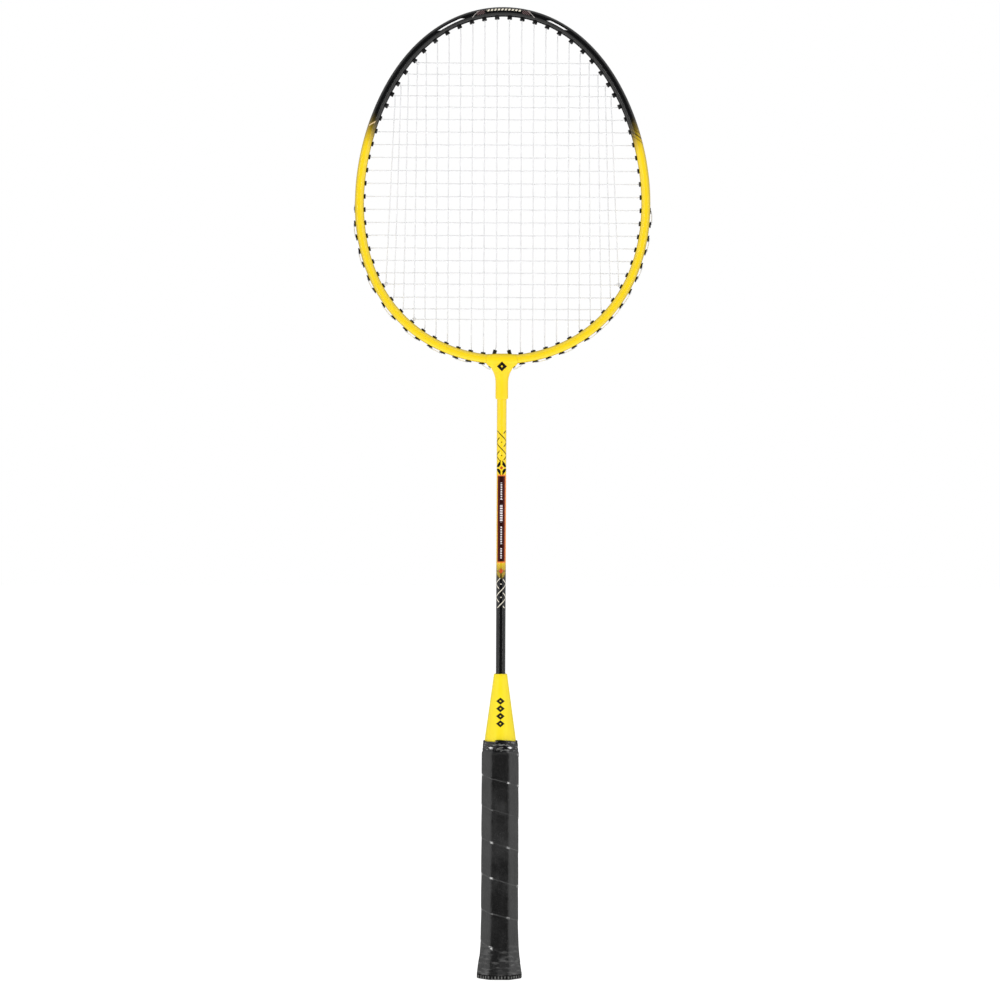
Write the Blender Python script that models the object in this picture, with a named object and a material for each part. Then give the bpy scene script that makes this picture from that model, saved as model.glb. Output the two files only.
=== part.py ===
"""A badminton racket with a T-jointed aluminium head, a steel shaft and a wrapped handle.

The racket stands on its butt: +Z runs from the butt to the head, the string bed lies in the XZ plane,
and the origin is the centre of the flat butt face. Every piece is its own closed solid.
"""

import math

import bmesh
import bpy
from mathutils import Vector

MM = 0.001
GAP = 0.3 * MM  # clearance between neighbouring pieces

# Head outline: an egg whose outer edge is x = A sin t (1 - e1 cos t + e2 cos 2t),
# z = centre + B cos t - C cos 2t, with t = 0 at the top and t = pi at the T joint.
HEAD_HALF_WIDTH = 102.9 * MM
HEAD_TAPER = 0.1966
HEAD_FULLNESS = 0.0373
HEAD_HALF_HEIGHT = 122.3 * MM
HEAD_FLATTENING = 7.3 * MM
HEAD_CENTRE_Z = 549.8 * MM

# Head tube, rolled flat on the faces that the grommets pass through.
TUBE_RADIAL = 6.2 * MM
TUBE_DEPTH = 10.0 * MM
TUBE_FLAT = 4.8 * MM
TUBE_FLAT_SHRINK = 0.3  # how much of an inset the flat faces give up
TUBE_SHOULDER = (0.72, 0.84)  # the corner between flat and side, as shares of the half sizes
TUBE_WALL = 1.2 * MM
TUBE_END_X = 0.4 * MM
PLUG_REACH = 18.0 * MM

# String bed: 22 mains and 22 crosses, opening out towards the middle of the bed.
MAINS_PER_SIDE = 11
CROSSES_PER_HALF = 11
SHARED_CORNER_HOLES = 4
CORNER_SHARE = 0.5  # how far a shared upper hole leans towards its main string's own place
CORNER_SHARE_STEP = 0.15
MAIN_PITCH = 8.56 * MM
MAIN_PITCH_CLOSING = 0.0075 * MM
CROSS_PITCH = 9.01 * MM
CROSS_PITCH_CLOSING = 0.00445 * MM
CROSS_CENTRE_Z = 539.3 * MM
STRING_DIAMETER = 0.7 * MM
STRING_PLANE_OFFSET = 0.5 * MM  # mains behind the middle plane, crosses in front of it

# Grommets.
BARREL_RADIUS = 1.7 * MM
BORE_RADIUS = 1.2 * MM
GROMMET_HOLE_RADIUS = BARREL_RADIUS + 1.2 * GAP
FLANGE_THICKNESS = 0.7 * MM
FLANGE_HALF_WIDTH = 1.9 * MM
FLANGE_OVERHANG = 1.9 * MM
LONG_BARREL = 1.9 * MM  # how far a barrel stands out inside the head, near the top
SHORT_BARREL = 1.1 * MM  # the same, further down
LONG_BARREL_ANGLE = math.radians(70)
HOLE_SIDES = 6
HOLE_OVERSHOOT = 1.0 * MM  # how far a cutter runs past the ends of the bore it cuts

# T joint.
SLEEVE_BOTTOM_Z = 396.2 * MM
NECK = (  # height, half width, half depth
    (396.2, 4.35, 4.35),
    (408.0, 4.35, 4.35),
    (412.0, 4.95, 4.70),
    (415.2, 6.10, 5.10),
    (417.6, 8.00, 5.50),
    (419.6, 10.20, 5.70),
    (422.0, 10.40, 5.70),
)
SADDLE_REACH = 11.0 * MM
SADDLE_WALL_MIDDLE = 1.5 * MM
SADDLE_WALL_END = 0.9 * MM
THROAT_MOUTH_Z = 431.0 * MM  # inner end of the two bores through the T joint
THROAT_EXIT_X = 8.0 * MM
THROAT_EXIT_Z = 417.8 * MM
THROAT_OVERSHOOT = 1.5 * MM  # how far their cutter runs past their ends
THROAT_LOOP = 1.7 * MM  # how far a string stands out of these bores before it turns

# Shaft.
SHAFT_RADIUS = 3.25 * MM
SHAFT_WALL = 0.9 * MM
SHAFT_BOTTOM_Z = 26.0 * MM
SHAFT_TOP_Z = 414.3 * MM
SHAFT_HOLE_RADIUS = SHAFT_RADIUS + GAP

# Handle. Widths are across the flats of the octagon; its depth is a little less than its width.
DEPTH_RATIO = 0.93
GRIP_WIDTH = 25.2 * MM
WRAP_THICKNESS = 1.5 * MM
CORE_WIDTH = GRIP_WIDTH - 2 * WRAP_THICKNESS - 2 * GAP
CORE_BOTTOM_Z = 3.3 * MM
CORE_TOP_Z = 151.0 * MM
WRAP_BOTTOM_Z = 3.0 * MM
WRAP_TOP_Z = 156.2 * MM
FLARE = ((3.0, 30.8), (8.0, 29.4), (13.5, 27.2), (20.5, 25.2))  # height, width in mm
CAP_RIM_HEIGHT = 2.7 * MM
CAP_WIDTH = 30.8 * MM
CAP_BEVEL = 0.7 * MM
SPIGOT_RADIUS = 6.5 * MM
SPIGOT_TOP_Z = 18.0 * MM

# Cone and finishing tape.
CONE_SKIRT_RADIUS = 10.55 * MM
CONE_FOOT_RADIUS = 9.9 * MM  # the end that stands inside the wrap
CONE_TIP_RADIUS = 4.5 * MM
CONE_BOTTOM_Z = 151.4 * MM
CONE_SHOULDER_Z = 163.0 * MM
CONE_TOP_Z = 207.9 * MM
CONE_WALL = 1.6 * MM
CONE_BORE_LENGTH = 14.0 * MM
CONE_BORE_TAPER = 0.2 * MM
CONE_STEP = 0.7 * MM  # height of the slope from the foot out to the skirt
CONE_TIP_BEVEL = (0.3 * MM, 0.4 * MM)
TAPE_RADIUS = 11.5 * MM
TAPE_FOOT_WIDTH = 24.6 * MM  # the tape follows the wrap's octagon at its lower edge
TAPE_BOTTOM_Z = WRAP_TOP_Z + GAP
TAPE_TOP_Z = 162.7 * MM

ROUND_SIDES = 16
TURNED_SIDES = 24


def clear_scene():
    """Empties the scene."""
    for item in list(bpy.data.objects):
        bpy.data.objects.remove(item, do_unlink=True)


def make_material(name, colour, roughness, metallic=0.0):
    """A plain finish with one colour."""
    material = bpy.data.materials.new(name)
    material.use_nodes = True
    shader = material.node_tree.nodes["Principled BSDF"]
    shader.inputs["Base Color"].default_value = (*colour, 1.0)
    shader.inputs["Roughness"].default_value = roughness
    shader.inputs["Metallic"].default_value = metallic
    return material


def add_mesh(name, bm, material=None, sharp_degrees=35):
    """Turns a bmesh into an object, shaded smooth with sharp edges where it turns."""
    mesh = bpy.data.meshes.new(name)
    bm.to_mesh(mesh)
    bm.free()
    mesh.shade_smooth()
    mesh.set_sharp_from_angle(angle=math.radians(sharp_degrees))
    piece = bpy.data.objects.new(name, mesh)
    bpy.context.scene.collection.objects.link(piece)
    if material:
        mesh.materials.append(material)
    return piece


def add_cutter(name, bm):
    """A guide solid that shapes another piece and isn't part of the racket."""
    cutter = add_mesh(name, bm)
    cutter.hide_render = True
    cutter.display_type = "WIRE"
    return cutter


def combine(piece, other, operation):
    """Adds an exact Boolean of another object to a piece."""
    boolean = piece.modifiers.new(other.name, "BOOLEAN")
    boolean.operation = operation
    boolean.solver = "EXACT"
    boolean.object = other


def bridge_rings(bm, rings, close_loop=False):
    """Skins a stack of rings that all have the same number of points, into a rod or a closed loop."""
    loops = [[bm.verts.new(point) for point in ring] for ring in rings]
    count = len(loops[0])
    pairs = list(zip(loops, loops[1:]))
    if close_loop:
        pairs.append((loops[-1], loops[0]))
    for lower, upper in pairs:
        for i in range(count):
            j = (i + 1) % count
            bm.faces.new((lower[i], lower[j], upper[j], upper[i]))
    if not close_loop:
        bm.faces.new(list(reversed(loops[0])))
        bm.faces.new(loops[-1])


def skin(rings, close_loop=False):
    """A closed bmesh over a stack of rings, with its faces pointing out."""
    bm = bmesh.new()
    bridge_rings(bm, rings, close_loop=close_loop)
    bmesh.ops.recalc_face_normals(bm, faces=bm.faces)
    return bm


def open_tube(outer_rings, inner_rings):
    """A closed bmesh of a pipe that is open at both ends, from its outer and its inner skin."""
    return skin(list(outer_rings) + list(reversed(inner_rings)), close_loop=True)


def ring_angles(sides):
    """The angles of a ring's corners, with a flat side towards each axis."""
    return [2 * math.pi * (i + 0.5) / sides for i in range(sides)]


def ellipse(half_width, half_depth, z, sides=ROUND_SIDES):
    """A level oval ring of points round the Z axis."""
    return [Vector((half_width * math.cos(a), half_depth * math.sin(a), z)) for a in ring_angles(sides)]


def circle(radius, z, sides=ROUND_SIDES):
    """A level ring of points round the Z axis."""
    return ellipse(radius, radius, z, sides)


def octagon(width, z):
    """A level ring at the corners of the handle's octagon, given its width across the flats."""
    corner = width / 2 / math.cos(math.pi / 8)
    return [Vector((p.x, p.y * DEPTH_RATIO, z)) for p in circle(corner, z, sides=8)]


def prism(start, end, radius):
    """The two end rings of a straight prism between two points of the XZ plane."""
    along = (end - start).normalized()
    across = Vector((0.0, 1.0, 0.0))
    side = along.cross(across)
    offsets = [(side * math.cos(a) + across * math.sin(a)) * radius for a in ring_angles(HOLE_SIDES)]
    return [[start + offset for offset in offsets], [end + offset for offset in offsets]]


def outline(t):
    """A point of the head's outer edge."""
    x = HEAD_HALF_WIDTH * math.sin(t) * (1 - HEAD_TAPER * math.cos(t) + HEAD_FULLNESS * math.cos(2 * t))
    z = HEAD_CENTRE_Z + HEAD_HALF_HEIGHT * math.cos(t) - HEAD_FLATTENING * math.cos(2 * t)
    return Vector((x, 0.0, z))


def outward(t):
    """The direction in the XZ plane that points straight out of the head's outer edge."""
    step = 1e-4
    along = outline(t + step) - outline(t - step)
    return Vector((-along.z, 0.0, along.x)).normalized()


def at_head(t, radial, depth=0.0):
    """A point placed by its distance outside the head's outer edge and its depth along Y."""
    return outline(t) + outward(t) * radial + Vector((0.0, depth, 0.0))


def solve(function, low, high):
    """The root of a function that changes sign once between low and high."""
    rising = function(high) > function(low)
    for _ in range(60):
        middle = (low + high) / 2
        if (function(middle) > 0) == rising:
            high = middle
        else:
            low = middle
    return (low + high) / 2


def barrel_reach(t):
    """How far a grommet's barrel stands out inside the head."""
    return LONG_BARREL if abs(t) < LONG_BARREL_ANGLE else SHORT_BARREL


def mouth(t):
    """The centre of a barrel's inner end."""
    return at_head(t, -TUBE_RADIAL - barrel_reach(t))


def main_x(number):
    """Distance of a main string from the middle, for number 1 to 11."""
    steps = number - 0.5
    return MAIN_PITCH * steps - MAIN_PITCH_CLOSING * steps**3


def cross_z(number):
    """Height of a cross string, for number 1, the top one, to 22."""
    steps = CROSSES_PER_HALF + 0.5 - number
    return CROSS_CENTRE_Z + CROSS_PITCH * steps - CROSS_PITCH_CLOSING * steps**3


def main_hole(number, upper):
    """Outline angle of the hole of a main string on the right side."""
    low, high = (0.0, math.radians(85)) if upper else (math.radians(95), math.pi)
    return solve(lambda t: mouth(t).x - main_x(number), low, high)


def cross_hole(number):
    """Outline angle of the hole of a cross string on the right side."""
    return solve(lambda t: mouth(t).z - cross_z(number), math.radians(20), math.radians(160))


def right_holes():
    """Outline angles of all holes on the right side, from the top round to the T joint.

    Returns the angles and, for each string, the index of its hole in them.
    """
    single_mains = MAINS_PER_SIDE - SHARED_CORNER_HOLES
    crosses = 2 * CROSSES_PER_HALF
    angles, tops, bottoms, sides = [], {}, {}, {}
    for number in range(1, single_mains + 1):
        tops[number] = len(angles)
        angles.append(main_hole(number, True))
    for step in range(1, SHARED_CORNER_HOLES + 1):
        tops[single_mains + step] = sides[step] = len(angles)
        share = CORNER_SHARE - CORNER_SHARE_STEP * (step - 1)
        angles.append(share * main_hole(single_mains + step, True) + (1 - share) * cross_hole(step))
    for number in range(SHARED_CORNER_HOLES + 1, crosses - SHARED_CORNER_HOLES + 1):
        sides[number] = len(angles)
        angles.append(cross_hole(number))
    for step in range(SHARED_CORNER_HOLES, 0, -1):
        bottoms[single_mains + step] = sides[crosses + 1 - step] = len(angles)
        angles.append((main_hole(single_mains + step, False) + cross_hole(crosses + 1 - step)) / 2)
    for number in range(single_mains, 0, -1):
        bottoms[number] = len(angles)
        angles.append(main_hole(number, False))
    return angles, tops, bottoms, sides


ANGLES, MAIN_TOPS, MAIN_BOTTOMS, CROSS_SIDES = right_holes()
THROAT = len(ANGLES) - 1  # index of the hole that passes through the T joint


def tube_section(inset):
    """The head tube's cross-section as (radial, depth) points about the tube's own centre."""
    radial = TUBE_RADIAL / 2 - inset
    depth = TUBE_DEPTH / 2 - inset
    flat = TUBE_FLAT / 2 - TUBE_FLAT_SHRINK * inset
    shoulder = (TUBE_SHOULDER[0] * radial, TUBE_SHOULDER[1] * depth)
    quarter = ((radial, flat), shoulder, (0.0, depth))
    front = quarter + tuple((-r, d) for r, d in reversed(quarter[:2]))
    back = tuple((-r, -d) for r, d in front)
    return front + back


def tube_ring(t, inset):
    """One ring of the head tube's skin at an outline angle."""
    return [at_head(t, r - TUBE_RADIAL / 2, d) for r, d in tube_section(inset)]


def tube_stations():
    """Outline angles of the tube's rings, one halfway between each two neighbouring holes."""
    halfway = [(a + b) / 2 for a, b in zip(ANGLES, ANGLES[1:])]
    end = solve(lambda t: outline(t).x - TUBE_END_X, math.radians(150), math.pi)
    right = halfway + [end]
    return [-t for t in reversed(right)] + [0.0] + right


def hole_axis(index, side):
    """The inner and outer end of a grommet's bore. side is 1 on the right and -1 on the left."""
    if index == THROAT:
        inner = Vector((main_x(1), 0.0, THROAT_MOUTH_Z))
        outer = Vector((THROAT_EXIT_X, 0.0, THROAT_EXIT_Z))
    else:
        inner = mouth(ANGLES[index])
        outer = at_head(ANGLES[index], GAP + FLANGE_THICKNESS)
    flip = Vector((side, 1.0, 1.0))
    return inner * flip, outer * flip


def hole_cutters():
    """All the holes through the head tube, as one guide."""
    bm = bmesh.new()
    for side in (1, -1):
        for index in range(len(ANGLES)):
            inner, outer = hole_axis(index, side)
            along = (outer - inner).normalized() * HOLE_OVERSHOOT
            bridge_rings(bm, prism(inner - along, outer + along, GROMMET_HOLE_RADIUS))
    bmesh.ops.recalc_face_normals(bm, faces=bm.faces)
    return add_cutter("guide_grommet_holes", bm)


def throat_cutters():
    """The two slanted bores through the T joint, as one guide."""
    bm = bmesh.new()
    for side in (1, -1):
        inner, outer = hole_axis(THROAT, side)
        along = (outer - inner).normalized() * THROAT_OVERSHOOT
        bridge_rings(bm, prism(inner - along, outer + along, GROMMET_HOLE_RADIUS))
    bmesh.ops.recalc_face_normals(bm, faces=bm.faces)
    return add_cutter("guide_throat_bores", bm)


def build_head_frame(material, holes):
    """The head: one bent tube, open at both ends and drilled for the grommets."""
    stations = tube_stations()
    outer = [tube_ring(t, 0.0) for t in stations]
    inner = [tube_ring(t, TUBE_WALL) for t in stations]
    frame = add_mesh("head_frame", open_tube(outer, inner), material, 50)
    combine(frame, holes, "DIFFERENCE")
    return frame


def bottom_angles(reach, steps):
    """Outline angles spread evenly across the T joint, left to right."""
    end = solve(lambda t: outline(t).x - reach, math.radians(120), math.pi)
    spread = math.pi - end
    return [math.pi + spread * (2 * i / steps - 1) for i in range(steps + 1)]


def build_end_plug(material, holes):
    """The dowel that joins the two ends of the head tube, drilled with them for the grommets."""
    rings = [tube_ring(t, TUBE_WALL + GAP) for t in bottom_angles(PLUG_REACH, 8)]
    plug = add_mesh("frame_end_plug", skin(rings), material, 50)
    combine(plug, holes, "DIFFERENCE")
    return plug


def build_t_joint(material, throat):
    """The moulded T that clamps the head tube's ends and takes the shaft."""
    angles = bottom_angles(SADDLE_REACH, 6)
    rings = []
    for i, t in enumerate(angles):
        along = 1 - abs(2 * i / (len(angles) - 1) - 1)
        wall = SADDLE_WALL_END + (SADDLE_WALL_MIDDLE - SADDLE_WALL_END) * math.sin(along * math.pi / 2)
        rings.append(tube_ring(t, -GAP - wall))
    joint = add_mesh("t_joint", skin(rings), material, 50)
    neck_rings = [ellipse(w * MM, d * MM, z * MM) for z, w, d in NECK]
    neck = add_cutter("guide_neck", skin(neck_rings))
    channel_rings = [tube_ring(t, -GAP) for t in bottom_angles(1.5 * SADDLE_REACH, 9)]
    channel = add_cutter("guide_channel", skin(channel_rings))
    socket_ends = (SLEEVE_BOTTOM_Z - MM, SHAFT_TOP_Z + GAP)
    socket_rings = [circle(SHAFT_HOLE_RADIUS, z) for z in socket_ends]
    socket = add_cutter("guide_shaft_socket", skin(socket_rings))
    combine(joint, neck, "UNION")
    combine(joint, channel, "DIFFERENCE")
    combine(joint, socket, "DIFFERENCE")
    combine(joint, throat, "DIFFERENCE")
    return joint


def build_throat_grommet(name, side, material):
    """A plain sleeve that guides a middle main string through the T joint."""
    inner, outer = hole_axis(THROAT, side)
    shell = prism(inner, outer, BARREL_RADIUS)
    bore = prism(inner, outer, BORE_RADIUS)
    return add_mesh(name, open_tube(shell, bore), material, 35)


def build_twin_grommet(name, first, second, material):
    """Two barrels and the flange that joins them outside the head tube.

    first and second are (index, side) of neighbouring holes, in clockwise order.
    """
    places = [flip * ANGLES[index] for index, flip in (first, second)]
    low, high = min(places), max(places)
    speed = (outline(high) - outline(low)).length / (high - low)
    over = FLANGE_OVERHANG / speed
    rings = []
    for t in (low - over, (low + high) / 2, high + over):
        rings.append(
            [
                at_head(t, GAP, -FLANGE_HALF_WIDTH),
                at_head(t, GAP, FLANGE_HALF_WIDTH),
                at_head(t, GAP + FLANGE_THICKNESS, FLANGE_HALF_WIDTH),
                at_head(t, GAP + FLANGE_THICKNESS, -FLANGE_HALF_WIDTH),
            ]
        )
    grommet = add_mesh(name, skin(rings), material)
    barrels, bores = bmesh.new(), bmesh.new()
    for index, flip in (first, second):
        inner, outer = hole_axis(index, flip)
        along = (outer - inner).normalized()
        bridge_rings(barrels, prism(inner, outer - along * FLANGE_THICKNESS / 2, BARREL_RADIUS))
        past = along * HOLE_OVERSHOOT
        bridge_rings(bores, prism(inner - past, outer + past, BORE_RADIUS))
    for bm in (barrels, bores):
        bmesh.ops.recalc_face_normals(bm, faces=bm.faces)
    combine(grommet, add_cutter("guide_barrels_" + name, barrels), "UNION")
    combine(grommet, add_cutter("guide_bores_" + name, bores), "DIFFERENCE")
    return grommet


def build_grommets(material):
    """All the grommets: two through the T joint, and the rest in pairs round the head."""
    build_twin_grommet("grommet_top", (0, -1), (0, 1), material)
    for side, word in ((1, "right"), (-1, "left")):
        build_throat_grommet("throat_grommet_" + word, side, material)
        for number, first in enumerate(range(1, THROAT, 2), start=1):
            name = f"grommet_{word}_{number:02d}"
            build_twin_grommet(name, (first, side), (first + 1, side), material)


def string_turn(first, second, depth):
    """The points of a string that leaves one hole and comes back through another."""
    points = []
    clear = GAP + STRING_DIAMETER / 2
    for (index, side), reverse in ((first, False), (second, True)):
        inner, outer = hole_axis(index, side)
        along = (outer - inner).normalized()
        loop = THROAT_LOOP if index == THROAT else clear
        leg = [inner - along * 2 * clear, outer, outer + along * loop]
        points.extend(reversed(leg) if reverse else leg)
    (index_a, side_a), (index_b, side_b) = first, second
    if THROAT not in (index_a, index_b):
        middle = (side_a * ANGLES[index_a] + side_b * ANGLES[index_b]) / 2
        points.insert(3, at_head(middle, GAP + FLANGE_THICKNESS + clear))
    return [point + Vector((0.0, depth, 0.0)) for point in points]


def string_end(index, side, depth):
    """The end of a string, tied off inside its own grommet."""
    inner, outer = hole_axis(index, side)
    along = (outer - inner).normalized()
    start = inner - along * (2 * GAP + STRING_DIAMETER)
    return [point + Vector((0.0, depth, 0.0)) for point in (start, inner + along * 2 * MM)]


def main_route():
    """The main string's whole route: up and down the bed from the left side to the right."""
    columns = [(number, -1) for number in range(MAINS_PER_SIDE, 0, -1)]
    columns += [(number, 1) for number in range(1, MAINS_PER_SIDE + 1)]
    depth = STRING_PLANE_OFFSET
    first_number, first_side = columns[0]
    route = list(reversed(string_end(MAIN_BOTTOMS[first_number], first_side, depth)))
    for order, (here, there) in enumerate(zip(columns, columns[1:])):
        holes = MAIN_TOPS if order % 2 == 0 else MAIN_BOTTOMS
        route += string_turn((holes[here[0]], here[1]), (holes[there[0]], there[1]), depth)
    last_number, last_side = columns[-1]
    return route + string_end(MAIN_BOTTOMS[last_number], last_side, depth)


def cross_route():
    """The cross string's whole route: side to side from the top row to the bottom row."""
    depth = -STRING_PLANE_OFFSET
    rows = range(1, 2 * CROSSES_PER_HALF + 1)
    side = 1
    route = list(reversed(string_end(CROSS_SIDES[rows[0]], -side, depth)))
    for here, there in zip(rows, rows[1:]):
        route += string_turn((CROSS_SIDES[here], side), (CROSS_SIDES[there], side), depth)
        side = -side
    return route + string_end(CROSS_SIDES[rows[-1]], side, depth)


def build_string(name, route, material):
    """A string as one round cord along its route."""
    curve = bpy.data.curves.new(name, "CURVE")
    curve.dimensions = "3D"
    curve.bevel_depth = STRING_DIAMETER / 2
    curve.bevel_resolution = 1
    curve.use_fill_caps = True
    curve.render_resolution_u = 0
    spline = curve.splines.new("POLY")
    spline.points.add(len(route) - 1)
    for target, point in zip(spline.points, route):
        target.co = (*point, 1.0)
    curve.materials.append(material)
    cord = bpy.data.objects.new(name, curve)
    bpy.context.scene.collection.objects.link(cord)
    return cord


def build_shaft(material):
    """The steel tube from the handle to the T joint."""
    heights = (SHAFT_BOTTOM_Z, SHAFT_TOP_Z)
    outer = [circle(SHAFT_RADIUS, z) for z in heights]
    inner = [circle(SHAFT_RADIUS - SHAFT_WALL, z) for z in heights]
    return add_mesh("shaft", open_tube(outer, inner), material)


def flare_rings(shrink, bottom, top):
    """Octagon rings of the handle's flared foot and straight body, from bottom to top."""
    heights = [bottom] + [z * MM for z, _ in FLARE if z * MM > bottom + MM] + [top]
    return [octagon(flare_width(z) - shrink, z) for z in heights]


def flare_width(height):
    """The grip's width across the flats at a height."""
    stations = [(z * MM, width * MM) for z, width in FLARE]
    if height <= stations[0][0]:
        return stations[0][1]
    for (z0, w0), (z1, w1) in zip(stations, stations[1:]):
        if height <= z1:
            return w0 + (w1 - w0) * (height - z0) / (z1 - z0)
    return GRIP_WIDTH


def build_handle_core(material):
    """The handle's body: a flared octagon bored for the shaft and for the butt cap's spigot."""
    shrink = GRIP_WIDTH - CORE_WIDTH
    core = add_mesh("handle_core", skin(flare_rings(shrink, CORE_BOTTOM_Z, CORE_TOP_Z)), material, 30)
    wide = SPIGOT_RADIUS + GAP
    ledge_z = SPIGOT_TOP_Z + GAP
    bore_rings = [
        circle(wide, CORE_BOTTOM_Z - MM),
        circle(wide, ledge_z),
        circle(SHAFT_HOLE_RADIUS, ledge_z + MM),
        circle(SHAFT_HOLE_RADIUS, CORE_TOP_Z + MM),
    ]
    combine(core, add_cutter("guide_core_bore", skin(bore_rings)), "DIFFERENCE")
    return core


def build_grip_wrap(material):
    """The cushioned wrap round the handle's body, down to the butt cap."""
    shrink = GRIP_WIDTH - CORE_WIDTH - 2 * GAP
    outer = flare_rings(0.0, WRAP_BOTTOM_Z, WRAP_TOP_Z)
    inner = flare_rings(shrink, WRAP_BOTTOM_Z, WRAP_TOP_Z)
    return add_mesh("grip_wrap", open_tube(outer, inner), material, 30)


def build_butt_cap(material):
    """The plastic cap that closes the handle: a flat rim with a spigot into the core."""
    rim = [
        octagon(CAP_WIDTH - 2 * CAP_BEVEL, 0.0),
        octagon(CAP_WIDTH, CAP_BEVEL),
        octagon(CAP_WIDTH, CAP_RIM_HEIGHT),
    ]
    cap = add_mesh("butt_cap", skin(rim), material, 30)
    spigot = [circle(SPIGOT_RADIUS, CAP_RIM_HEIGHT / 2), circle(SPIGOT_RADIUS, SPIGOT_TOP_Z)]
    combine(cap, add_cutter("guide_spigot", skin(spigot)), "UNION")
    return cap


def build_cone(material):
    """The hollow cone that leads from the shaft to the handle."""
    skirt_inner = CONE_FOOT_RADIUS - CONE_WALL
    outer = [
        circle(CONE_FOOT_RADIUS, CONE_BOTTOM_Z, TURNED_SIDES),
        circle(CONE_FOOT_RADIUS, WRAP_TOP_Z, TURNED_SIDES),
        circle(CONE_SKIRT_RADIUS, WRAP_TOP_Z + CONE_STEP, TURNED_SIDES),
        circle(CONE_SKIRT_RADIUS, CONE_SHOULDER_Z, TURNED_SIDES),
        circle(CONE_TIP_RADIUS, CONE_TOP_Z - CONE_TIP_BEVEL[1], TURNED_SIDES),
        circle(CONE_TIP_RADIUS - CONE_TIP_BEVEL[0], CONE_TOP_Z, TURNED_SIDES),
    ]
    inner = [
        circle(skirt_inner, CONE_BOTTOM_Z, TURNED_SIDES),
        circle(skirt_inner, WRAP_TOP_Z, TURNED_SIDES),
        circle(skirt_inner, WRAP_TOP_Z + CONE_STEP, TURNED_SIDES),
        circle(skirt_inner, CONE_SHOULDER_Z, TURNED_SIDES),
        circle(SHAFT_HOLE_RADIUS + CONE_BORE_TAPER, CONE_TOP_Z - CONE_BORE_LENGTH, TURNED_SIDES),
        circle(SHAFT_HOLE_RADIUS, CONE_TOP_Z, TURNED_SIDES),
    ]
    return add_mesh("cone", open_tube(outer, inner), material, 20)


def tape_ring(height, roundness):
    """A ring of the tape's outer face, from the wrap's octagon (0) to a circle (1)."""
    ring = []
    for point in circle(1.0, height, TURNED_SIDES):
        facet = math.atan2(point.y, point.x) % (math.pi / 4)
        off_flat = min(facet, math.pi / 4 - facet)
        reach = TAPE_FOOT_WIDTH / 2 / math.cos(off_flat)
        radius = reach + (TAPE_RADIUS - reach) * roundness
        depth = DEPTH_RATIO + (1 - DEPTH_RATIO) * roundness
        ring.append(Vector((point.x * radius, point.y * radius * depth, height)))
    return ring


def build_finishing_tape(material):
    """The band of tape that covers the top edge of the grip."""
    middle_z = (TAPE_BOTTOM_Z + TAPE_TOP_Z) / 2
    steps = ((TAPE_BOTTOM_Z, 0.0), (middle_z, 0.6), (TAPE_TOP_Z, 1.0))
    outer = [tape_ring(z, roundness) for z, roundness in steps]
    inner = [circle(CONE_SKIRT_RADIUS + GAP, z, TURNED_SIDES) for z, _ in steps]
    return add_mesh("finishing_tape", open_tube(outer, inner), material, 30)


def main():
    """Builds every piece of the racket."""
    clear_scene()
    yellow_paint = make_material("yellow_paint", (0.98, 0.73, 0.01), 0.25)
    yellow_plastic = make_material("yellow_plastic", (0.97, 0.83, 0.03), 0.35)
    black_plastic = make_material("black_plastic", (0.012, 0.012, 0.012), 0.45)
    string_nylon = make_material("string_nylon", (0.85, 0.85, 0.83), 0.3)
    grip_foam = make_material("grip_foam", (0.03, 0.03, 0.032), 0.6)
    core_wood = make_material("core_wood", (0.55, 0.38, 0.2), 0.7)
    raw_alloy = make_material("raw_alloy", (0.7, 0.7, 0.72), 0.35, 1.0)
    black_tape = make_material("black_tape", (0.01, 0.01, 0.01), 0.2)

    holes = hole_cutters()
    throat = throat_cutters()
    build_head_frame(yellow_paint, holes)
    build_end_plug(raw_alloy, holes)
    build_t_joint(yellow_plastic, throat)
    build_grommets(black_plastic)
    build_string("main_string", main_route(), string_nylon)
    build_string("cross_string", cross_route(), string_nylon)
    build_shaft(yellow_paint)
    build_cone(yellow_plastic)
    build_finishing_tape(black_tape)
    build_grip_wrap(grip_foam)
    build_handle_core(core_wood)
    build_butt_cap(black_plastic)


main()
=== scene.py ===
"""The looks of a badminton racket: strung head, T joint, printed shaft, cone and wrapped handle.

The racket stands on its butt. +Z runs from the butt to the head, the string bed lies in the XZ plane,
and -Y is the front. All sizes are in metres, written as millimetres times MM.
"""

from __future__ import annotations

import logging
import math
from collections.abc import Callable, Sequence
from dataclasses import dataclass, field
from enum import Enum
from functools import reduce

import bmesh
import bpy
from mathutils import Matrix, Vector, noise

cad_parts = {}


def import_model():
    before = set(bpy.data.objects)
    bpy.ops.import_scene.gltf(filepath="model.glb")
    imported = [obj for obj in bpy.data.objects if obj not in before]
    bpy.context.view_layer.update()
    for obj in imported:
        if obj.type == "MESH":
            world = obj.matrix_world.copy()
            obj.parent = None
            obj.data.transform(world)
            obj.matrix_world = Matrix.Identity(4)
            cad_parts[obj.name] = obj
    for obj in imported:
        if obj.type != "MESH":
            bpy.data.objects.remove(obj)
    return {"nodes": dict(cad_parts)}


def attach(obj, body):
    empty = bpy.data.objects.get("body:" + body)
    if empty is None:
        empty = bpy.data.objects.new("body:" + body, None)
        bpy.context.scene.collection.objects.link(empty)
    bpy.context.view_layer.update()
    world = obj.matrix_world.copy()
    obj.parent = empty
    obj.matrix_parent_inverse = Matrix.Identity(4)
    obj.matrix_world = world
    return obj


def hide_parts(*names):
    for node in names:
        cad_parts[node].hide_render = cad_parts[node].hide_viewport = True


MM = 0.001
GAP = 0.3 * MM
ROOT = "root"
WRAP_UV = "wrap"
LOG = logging.getLogger("racket")

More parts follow.
